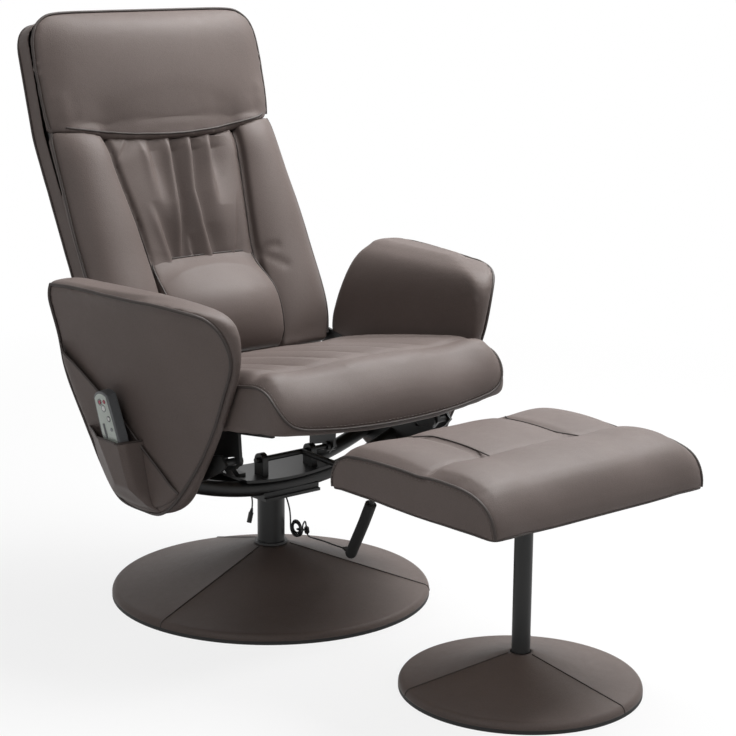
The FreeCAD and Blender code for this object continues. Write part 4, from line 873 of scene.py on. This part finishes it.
# %% Lumbar cushion
lumbar = relaxed_copy("lumbar_cushion", "lumbar_pad", 0.0045, 5)
LUMBAR_FRONT = -0.004
blow_up(lumbar, 0.008, lambda spots: front_share(back_terms(spots)[1], LUMBAR_FRONT))
finish_pad(lumbar)
dress(lumbar, "lumbar_cushion", "back")
LUMBAR_SIDE = metres([(430, -12), (418, -20), (388, -26), (340, -26), (312, -16), (280, -4), (258, 2)])
LUMBAR_HALF = 0.113
lumbar_edge = [on_back(-LUMBAR_HALF, down, depth) for down, depth in LUMBAR_SIDE]
lumbar_edge += [on_back(x, 0.253, 0.0) for x in (-0.106, -0.05, 0.0, 0.05, 0.106)]
lumbar_edge += [on_back(LUMBAR_HALF, down, depth) for down, depth in LUMBAR_SIDE[::-1]]
piping("lumbar_piping", lumbar, lumbar_edge, "back", 0.0016)
tell(lumbar)

# %% [markdown]
# The rear shell is leather stretched over a tray, with a piped edge all round. It is stiff, so it is only softened.

# %% Rear shell
shell = relaxed_copy("back_shell", "rear_shell", 0.003, 3)
finish_pad(shell)
dress(shell, "back_shell", "back")
SHELL_DEPTH = 0.0575
SHELL_HALF = 0.238
SHELL_TOP = [(SHELL_HALF, 0.03), (SHELL_HALF, 0.09), (SHELL_HALF, 0.150), (0.226, 0.185), (0.198, 0.197), (0.1, 0.197)]
shell_edge = [on_back(SHELL_HALF, down, SHELL_DEPTH) for down in (0.40, 0.3, 0.2, 0.1, 0.015)]
shell_edge += [on_head(x, up, SHELL_DEPTH) for x, up in SHELL_TOP]
shell_edge += [on_head(0, 0.197, SHELL_DEPTH)] + mirrored(shell_edge[::-1])
piping("shell_piping", shell, shell_edge, "back", 0.0022)
tell(shell)

# %% [markdown]
# The seat has a rolled front. A cross seam sets the roll off from the seating panel, which lies in wide lengthwise
# puffs. Piping follows the side of the roll and the hem under it.

# %% Seat cushion
SEAT_HALF = 0.247
SEAT_SEAM_Y = -0.256
SEAT_PUFF = 0.066
PUFF_RISE, PUFF_SINK = 0.007, 0.004
seat = relaxed_copy("seat_cushion", "seat_pad", 0.006, 6)


def seat_skin(spots):
    """The seat swells above its slanting hem, and hardly at its sides."""
    over = np.clip((spots[:, 2] - 0.37 + (spots[:, 1] + 0.195) * 0.13) / 0.03, 0, 1)
    return over * fade(np.abs(spots[:, 0]), 0.246, 0.02, 0.1)


blow_up(seat, 0.012, seat_skin)
finish_pad(seat)
cross_seam = [(x, SEAT_SEAM_Y, 0.50) for x in (-0.235, -0.16, -0.08, 0, 0.08, 0.16, 0.235)]
press_seam(seat, lay(seat, through(cross_seam))[0], 0.004, 0.011)


def seat_puffs(piece):
    """Wide lengthwise puffs behind the cross seam, parted by narrow folds that die out towards the back."""
    spots = spots_of(piece.data)
    behind = spots[:, 1] - SEAT_SEAM_Y
    top = (normals_of(piece.data)[:, 2] > 0.6) * np.clip(behind / 0.04, 0, 1) * np.clip(1.3 - behind / 0.26, 0, 1)
    phase = (spots[:, 0] + 0.12 * (behind - 0.1)) / SEAT_PUFF
    fold = np.abs((phase + 0.5) % 1 - 0.5) * 2
    puff = PUFF_RISE * np.sqrt(np.clip(fold, 0, 1)) - PUFF_SINK
    push_out(piece, puff * top)


seat_puffs(seat)
dress(seat, "seat_cushion", "seat")
SEAT_SIDE = metres([(90, 402), (-50, 424), (-150, 439), (-226, 447), (-278, 455), (-306, 450)])
seat_edge = [(SEAT_HALF, y, z) for y, z in SEAT_SIDE]
seat_edge += [(0.246, -0.322, 0.438), (0.238, -0.330, 0.421), (0.225, -0.335, 0.403), (0.200, -0.340, 0.391)]
for x in (0.15, 0.08, 0.0):
    bow = 1 - (x / SEAT_HALF) ** 2
    seat_edge.append((x, -0.325 - 0.027 * bow, 0.394 - 0.014 * bow))
seat_edge += mirrored(seat_edge[-2::-1])
piping("seat_piping", seat, seat_edge, "seat", 0.0022)
stitches("seat_edge_stitches", seat, seat_edge, "seat", 0.005)
tell(seat)

# %% [markdown]
# Each arm is a padded wing. Its outer panel is edged with piping from the rear top corner, along the flared rim,
# round the front and down to the foot. The two arms mirror each other, and the pockets hang on the right one only.

# %% Arms
ARM_RIM = metres([(380, 95, 578), (372, 30, 580), (366, -42, 579), (354, -121, 576), (338, -176, 573),
    (320, -212, 567), (306, -232, 559), (290, -244, 542), (279, -248, 523), (273, -251, 501), (270, -247, 475),
    (270, -230, 435), (270, -205, 380), (272, -172, 320), (279, -139, 270), (284, -112, 236), (284, -82, 215),
    (281, -45, 206), (282, 6, 206), (289, 35, 214), (293, 62, 236), (295, 88, 270), (301, 114, 320),
    (315, 133, 380), (331, 137, 435), (345, 126, 480), (361, 116, 520), (373, 110, 550)])
arms = {}
for side_name, turn_over in SIDES:
    node = "arm_" + side_name
    arm = relaxed_copy(node, "arm_pad_" + side_name, 0.005, 6)
    finish_pad(arm)
    dress(arm, node, "carriage")
    piping("arm_piping_" + side_name, arm, turn_over(ARM_RIM), "carriage", 0.0028, closed=True)
    arms[side_name] = arm
    tell(arm)

# %% [markdown]
# The magazine pocket is a sewn panel over the lower rear of the right arm. A grid is cast onto the arm from outside,
# so the panel follows the arm, and it stands off where its slanted top edge is open. The same grid makes both of its
# faces, and the hem along the mouth gets its own piping.


# %% Magazine pocket
def caster(piece):
    tree = surface_of(piece)

    def cast(y, z):
        hit = tree.ray_cast(Vector((-0.6, y, z)), Vector((1, 0, 0)))
        return hit[0].x if hit[0] else None
    return cast


on_arm = caster(arms["right"])


ARM_ENDS = metres([(205, -48, 8), (213, -78, 36), (235, -110, 62), (270, -137, 88), (320, -170, 114),
    (380, -203, 133), (435, -230, 137), (480, -246, 126)])


def arm_ends(z):
    """Front and rear end of the arm at a height."""
    heights, fronts, rears = zip(*ARM_ENDS)
    return np.interp(z, heights, fronts), np.interp(z, heights, rears)


SLANT = metres([(-124, 255), (-95, 278), (-42, 316), (1, 357), (54, 403), (95, 440), (138, 478)])
MISSED_X = -0.29


def two_layers(name, outer, inner, grid):
    """Closed piece from the faces of its outer points, the same faces of its inner points, and their rims."""
    total = len(outer)
    edges = [edge for face in grid for edge in zip(face, face[1:] + face[:1])]
    shared = set(edges)
    faces = grid + [tuple(total + i for i in face[::-1]) for face in grid]
    faces += [(b, a, total + a, total + b) for a, b in edges if (b, a) not in shared]
    mesh = bpy.data.meshes.new(name)
    mesh.from_pydata(outer + inner, [], faces)
    shade_smooth(mesh)
    return bpy.data.objects.new(name, mesh)


def sheet_rows(spot, count, width):
    """Grid of spots by their share of the way down and along."""
    return [[spot(i / count, j / width) for j in range(width + 1)] for i in range(count + 1)]


def sheet_mesh(name, rows, thickness):
    """Panel from a grid of outer points and the same grid moved in by its thickness."""
    width = len(rows[0])
    outer = [p for row in rows for p in row]
    inner = [Vector((p.x + thickness, p.y, p.z)) for p in outer]
    starts = [i * width + j for i in range(len(rows) - 1) for j in range(width - 1)]
    return two_layers(name, outer, inner, [(a, a + 1, a + width + 1, a + width) for a in starts])


def pocket_spot(down, along):
    """Spots from the slanted mouth down to the foot; the rear of the mouth stands open the most."""
    y_top = -0.122 + along * 0.254
    z_top = float(follow(SLANT, y_top)) - 0.002
    z_low = 0.214 + 0.03 * abs(along - 0.45) ** 2
    z = z_top + (z_low - z_top) * down
    front, rear = arm_ends(z)
    y_low = front * 0.8 + along * (rear - front) * 0.9 + 0.004
    y = min(max(y_top * (1 - down) + y_low * down, front + 0.004), rear - 0.005)
    edge = min(1, (1 - down) / 0.10, (rear - y) / 0.012, (y - front) / 0.03)
    mouth = max(0, (along - 0.35) / 0.65) ** 0.8 * (1 - down) ** 1.5
    lift = max(edge, 0.0) * (0.0045 + 0.006 * mouth)
    return Vector(((on_arm(y, z) or MISSED_X) - lift, y, z))


rows = sheet_rows(pocket_spot, 30, 32)
magazine = sheet_mesh("magazine_panel", rows, 0.002)
dress(magazine, "magazine_pocket", "carriage")
mouth = welt("pocket_mouth_piping", through(rows[0][::2]), 0.0024, "carriage")
tell(magazine)

# %% [markdown]
# The pouch for the hand control is bent round it like a letter box: flat in front, with round sides that run back
# to the panel. Its outline is worked out in the control's own leaning frame.

# %% Hand control pouch
TILT = radians(13.0)
LEAN = radians(7.0)
remote_turn = Matrix.Rotation(-LEAN, 4, "Y") @ Matrix.Rotation(-TILT, 4, "X")
remote_place = Matrix.Translation(Vector((-0.325, -0.003, 0.337))) @ remote_turn
on_panel = caster(magazine)


def ease(t):
    t = min(1.0, max(0.0, t))
    return t * t * (3 - 2 * t)


POUCH_TOP = 0.328
POUCH_FOOT = 0.2145
POUCH_FRONT = [(POUCH_FOOT, -0.073), (0.224, -0.067), (0.247, -0.057), (0.268, -0.051), (0.288, -0.045),
               (POUCH_TOP, -0.036)]
CONTROL_FRONT = -0.0138


def pouch_spot(down, across):
    """Spots from the hem down: flat over the control, slanting back to the arm's rear edge and to its foot."""
    z = POUCH_TOP + (POUCH_FOOT - POUCH_TOP) * down
    front, rear = arm_ends(z)
    seam_front = max(float(follow(POUCH_FRONT, z)), front + 0.005)
    seam_rear = min(rear - 0.004, float(np.interp(z, [0.265, 0.332], [0.084, 0.097])))
    y = seam_front + (seam_rear - seam_front) * across
    base = on_panel(y, z) or on_arm(y, z) or MISSED_X
    dy, dz = y - remote_place.translation.y, z - remote_place.translation.z
    local_y = dy * cos(TILT) - dz * sin(TILT)
    local_z = dy * sin(TILT) + dz * cos(TILT)
    face = (remote_place @ Vector((CONTROL_FRONT, local_y, local_z))).x
    side = max(0.02, seam_rear - 0.030 + 0.5 * (POUCH_TOP - z))
    wide = min(ease((y - seam_front) / 0.005), (seam_rear - y) / side, 1.0)
    deep = min(1.0, (z - POUCH_FOOT) / 0.040)
    return Vector((base - 0.001 + min(0, face - base) * min(wide, deep), y, z))


pouch_rows = sheet_rows(pouch_spot, 32, 48)
pouch = sheet_mesh("control_pouch", pouch_rows, 0.0018)
dress(pouch, "remote_pocket", "carriage")
hem = welt("pouch_hem", through(pouch_rows[0][::2]), 0.0018, "carriage")
tell(pouch)

# %% [markdown]
# The stool pad is a smaller cushion of the same make: a waterfall front, one cross seam and two short lengthwise
# seams behind it, with piping round its edges.

# %% Stool cushion
STOOL = Vector((0.018, -0.606, 0))
stool = relaxed_copy("stool_cushion", "stool_pad", 0.006, 6)


def stool_skin(spots):
    over = np.clip((spots[:, 2] - 0.325) / 0.03, 0, 1)
    return over * fade(np.abs(spots[:, 0] - STOOL.x), 0.221, 0.02, 0.1)


blow_up(stool, 0.010, stool_skin)
finish_pad(stool)


def by_stool(points):
    return [(STOOL.x + x, STOOL.y + y, z) for x, y, z in points]


stool_cross = by_stool([(x, -0.002, 0.42) for x in (-0.218, -0.14, -0.07, 0, 0.07, 0.14, 0.218)])
stool_length = [by_stool([(x, y, 0.42) for y in (-0.002, 0.05, 0.10, 0.16)]) for x in (-0.095, 0.095)]
for seam in [stool_cross] + stool_length:
    press_seam(stool, lay(stool, through(seam))[0], 0.004, 0.008)
dress(stool, "stool_cushion", "stool")
STOOL_SIDE = metres([(195, 318), (191, 352), (158, 374), (60, 380), (-40, 381), (-112, 376), (-151, 356),
    (-163, 330), (-165, 317)])
for side_name, x, aside_by in (("left", 0.2215, -0.005), ("right", -0.2215, 0.005)):
    points = by_stool([(x, y, z) for y, z in STOOL_SIDE])
    piping("stool_piping_" + side_name, stool, points, "stool", 0.0022)
    stitches("stool_stitches_" + side_name, stool, points, "stool", aside_by)
for number, seam in enumerate(stool_length):
    piping(f"stool_length_seam_{number}", stool, seam, "stool", FINE_WELT, FINE_SINK)
STOOL_HEM = metres([(220, 190), (220, 0), (220, -160), (100, -163), (-100, -163), (-220, -160), (-220, 0),
    (-220, 190), (0, 194)])
stool_hem = by_stool([(x, y, 0.3155) for x, y in STOOL_HEM])
piping("stool_hem", stool, stool_hem, "stool", 0.0014, closed=True)
tell(stool)

# %% [markdown]
# The base covers are sewn from three leather panels over a low cone with a round shoulder. Between its seams each
# panel is drawn flatter, so the seams stand up as ridges. The mesh is turned round the post, ring by ring.


# %% Base covers
RIM = 0.006
SHOULDER = 0.012
FLANK_STEPS = 36
SHOULDER_STEPS = 10
SPOKES = 240
COVER_THICK = 0.0022
FLAT_EDGE = 0.008
RIDGE = 0.04


def cover_profile(radius, height, bore):
    """Radius and height along the cone: a straight flank down from the bore, then the round shoulder to the rim."""
    middle = radius - SHOULDER
    turn = atan2(height, bore - middle) - acos(SHOULDER / hypot(height, bore - middle))
    touch = (middle + SHOULDER * cos(turn), SHOULDER * sin(turn))
    flank = [(bore + (touch[0] - bore) * i / FLANK_STEPS, RIM + height + (touch[1] - height) * i / FLANK_STEPS)
             for i in range(FLANK_STEPS)]
    angles = [turn * (1 - i / SHOULDER_STEPS) for i in range(SHOULDER_STEPS + 1)]
    return flank + [(middle + SHOULDER * cos(a), RIM + SHOULDER * sin(a)) for a in angles]


def base_cover(name, node, centre, radius, height, bore, seams, sag, body):
    """Leather cone on a base, with a welt on each seam."""
    profile = cover_profile(radius, height, bore)
    layers = []
    for layer in (0.0, COVER_THICK):
        spots = []
        for r, z in profile:
            bulk = 0.0
            if r < radius - FLAT_EDGE:
                bulk = sin(pi * max(0, (r - bore) / (radius - FLAT_EDGE - bore))) ** 0.8
            ring_r = r - layer if r > bore + 0.004 else r
            for j in range(SPOKES):
                angle = 2 * pi * j / SPOKES
                nearest = min(abs((angle - s + pi) % (2 * pi) - pi) for s in seams)
                flat = 1 - exp(-nearest * r / RIDGE)
                low = max(z - layer - sag * flat * bulk, RIM)
                spots.append((centre[0] + ring_r * cos(angle), centre[1] + ring_r * sin(angle), low))
        layers.append(spots)
    starts = range(0, (len(profile) - 1) * SPOKES, SPOKES)
    sides = [(i + j, i + (j + 1) % SPOKES) for i in starts for j in range(SPOKES)]
    grid = [(a, a + SPOKES, b + SPOKES, b) for a, b in sides]
    cover = link(two_layers(name, *layers, grid), body, cover_leather)
    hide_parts(node)
    for number, s in enumerate(seams):
        line = [(centre[0] + r * cos(s), centre[1] + r * sin(s), z + FINE_SINK) for r, z in profile[1:]]
        welt(f"{name}_seam_{number}", line, FINE_WELT, body)


chair_seams = [radians(a) for a in (-169, -44, 74)]
stool_seams = [radians(a) for a in (158, -79, 40)]
base_cover("chair_base_cover", "base_cover", (0, 0), 0.280, 0.083, 0.026, chair_seams, 0.009, "base")
base_cover("stool_base_leather", "stool_base_cover", STOOL, 0.189, 0.053, 0.0165, stool_seams, 0.007, "stool")
print("base covers done")

# %% [markdown]
# The rigid pieces keep their solid shapes. Each gets the finish of what it is made of.

# %% Finishes of the rigid pieces
RIGID = {
    "black_steel": """base_plate pedestal_tube swivel_spindle hub_saddle saddle_plate cradle_tube_front cradle_tube_rear
        lever_bearings seat_stop side_frames back_brackets lever_rod seat_frame lock_plate back_frame hinge_plates
        stool_base_plate stool_post stool_spider pivot_pins frame_bolts""",
    "bolt_steel": "spindle_clip",
    "black_rubber": "base_rim lever_grip stool_base_rim",
    "dark_plastic": "pedestal_collar seat_motors back_motors control_box socket_connector tail_connectors hank_tie",
    "white_nylon": "swivel_bushes",
    "plywood": "arm_boards seat_board stool_board",
    "charcoal_case": "remote_case",
    "pale_face": "remote_face",
    "key_red": "button_heat button_power",
    "key_white": "button_mode button_speed",
    "key_grey": "button_timer",
}
for finish, names in RIGID.items():
    for name in names.split():
        nodes[name].data.materials.clear()
        nodes[name].data.materials.append(plain[finish])
print("rigid nodes dressed:", sum(len(names.split()) for names in RIGID.values()))

# %% [markdown]
# Small marks finish the hand control: rings round three keys and a dark level window. They are plain shapes, in the
# control's own frame, and ride with it.


# %% Hand control details
CONTROL_FACE = -0.0101


def ring_mark(name, y, z, radius, thick, finish):
    angles = np.linspace(0, 2 * pi, 25)[:-1]
    points = [Vector((CONTROL_FACE, y + radius * cos(a), z + radius * sin(a))) for a in angles]
    link(tube_line(name, [remote_place @ p for p in points], thick, True), "remote", plain[finish])


ring_mark("heat_key_ring", 0.004, 0.057, 0.0052, 0.0006, "charcoal_case")
ring_mark("mode_key_ring", -0.003, 0.046, 0.0058, 0.0005, "key_grey")
ring_mark("speed_key_ring", -0.011, 0.028, 0.0046, 0.0006, "charcoal_case")
window = [remote_place @ Vector((CONTROL_FACE, 0.008, z)) for z in (0.021, 0.013, 0.005, -0.003)]
link(tube_line("level_window", window, 0.0022), "remote", plain["charcoal_case"])
print("hand control marked")

# %% [markdown]
# The view layer is brought up to date.

# %% Update the view layer
bpy.context.view_layer.update()
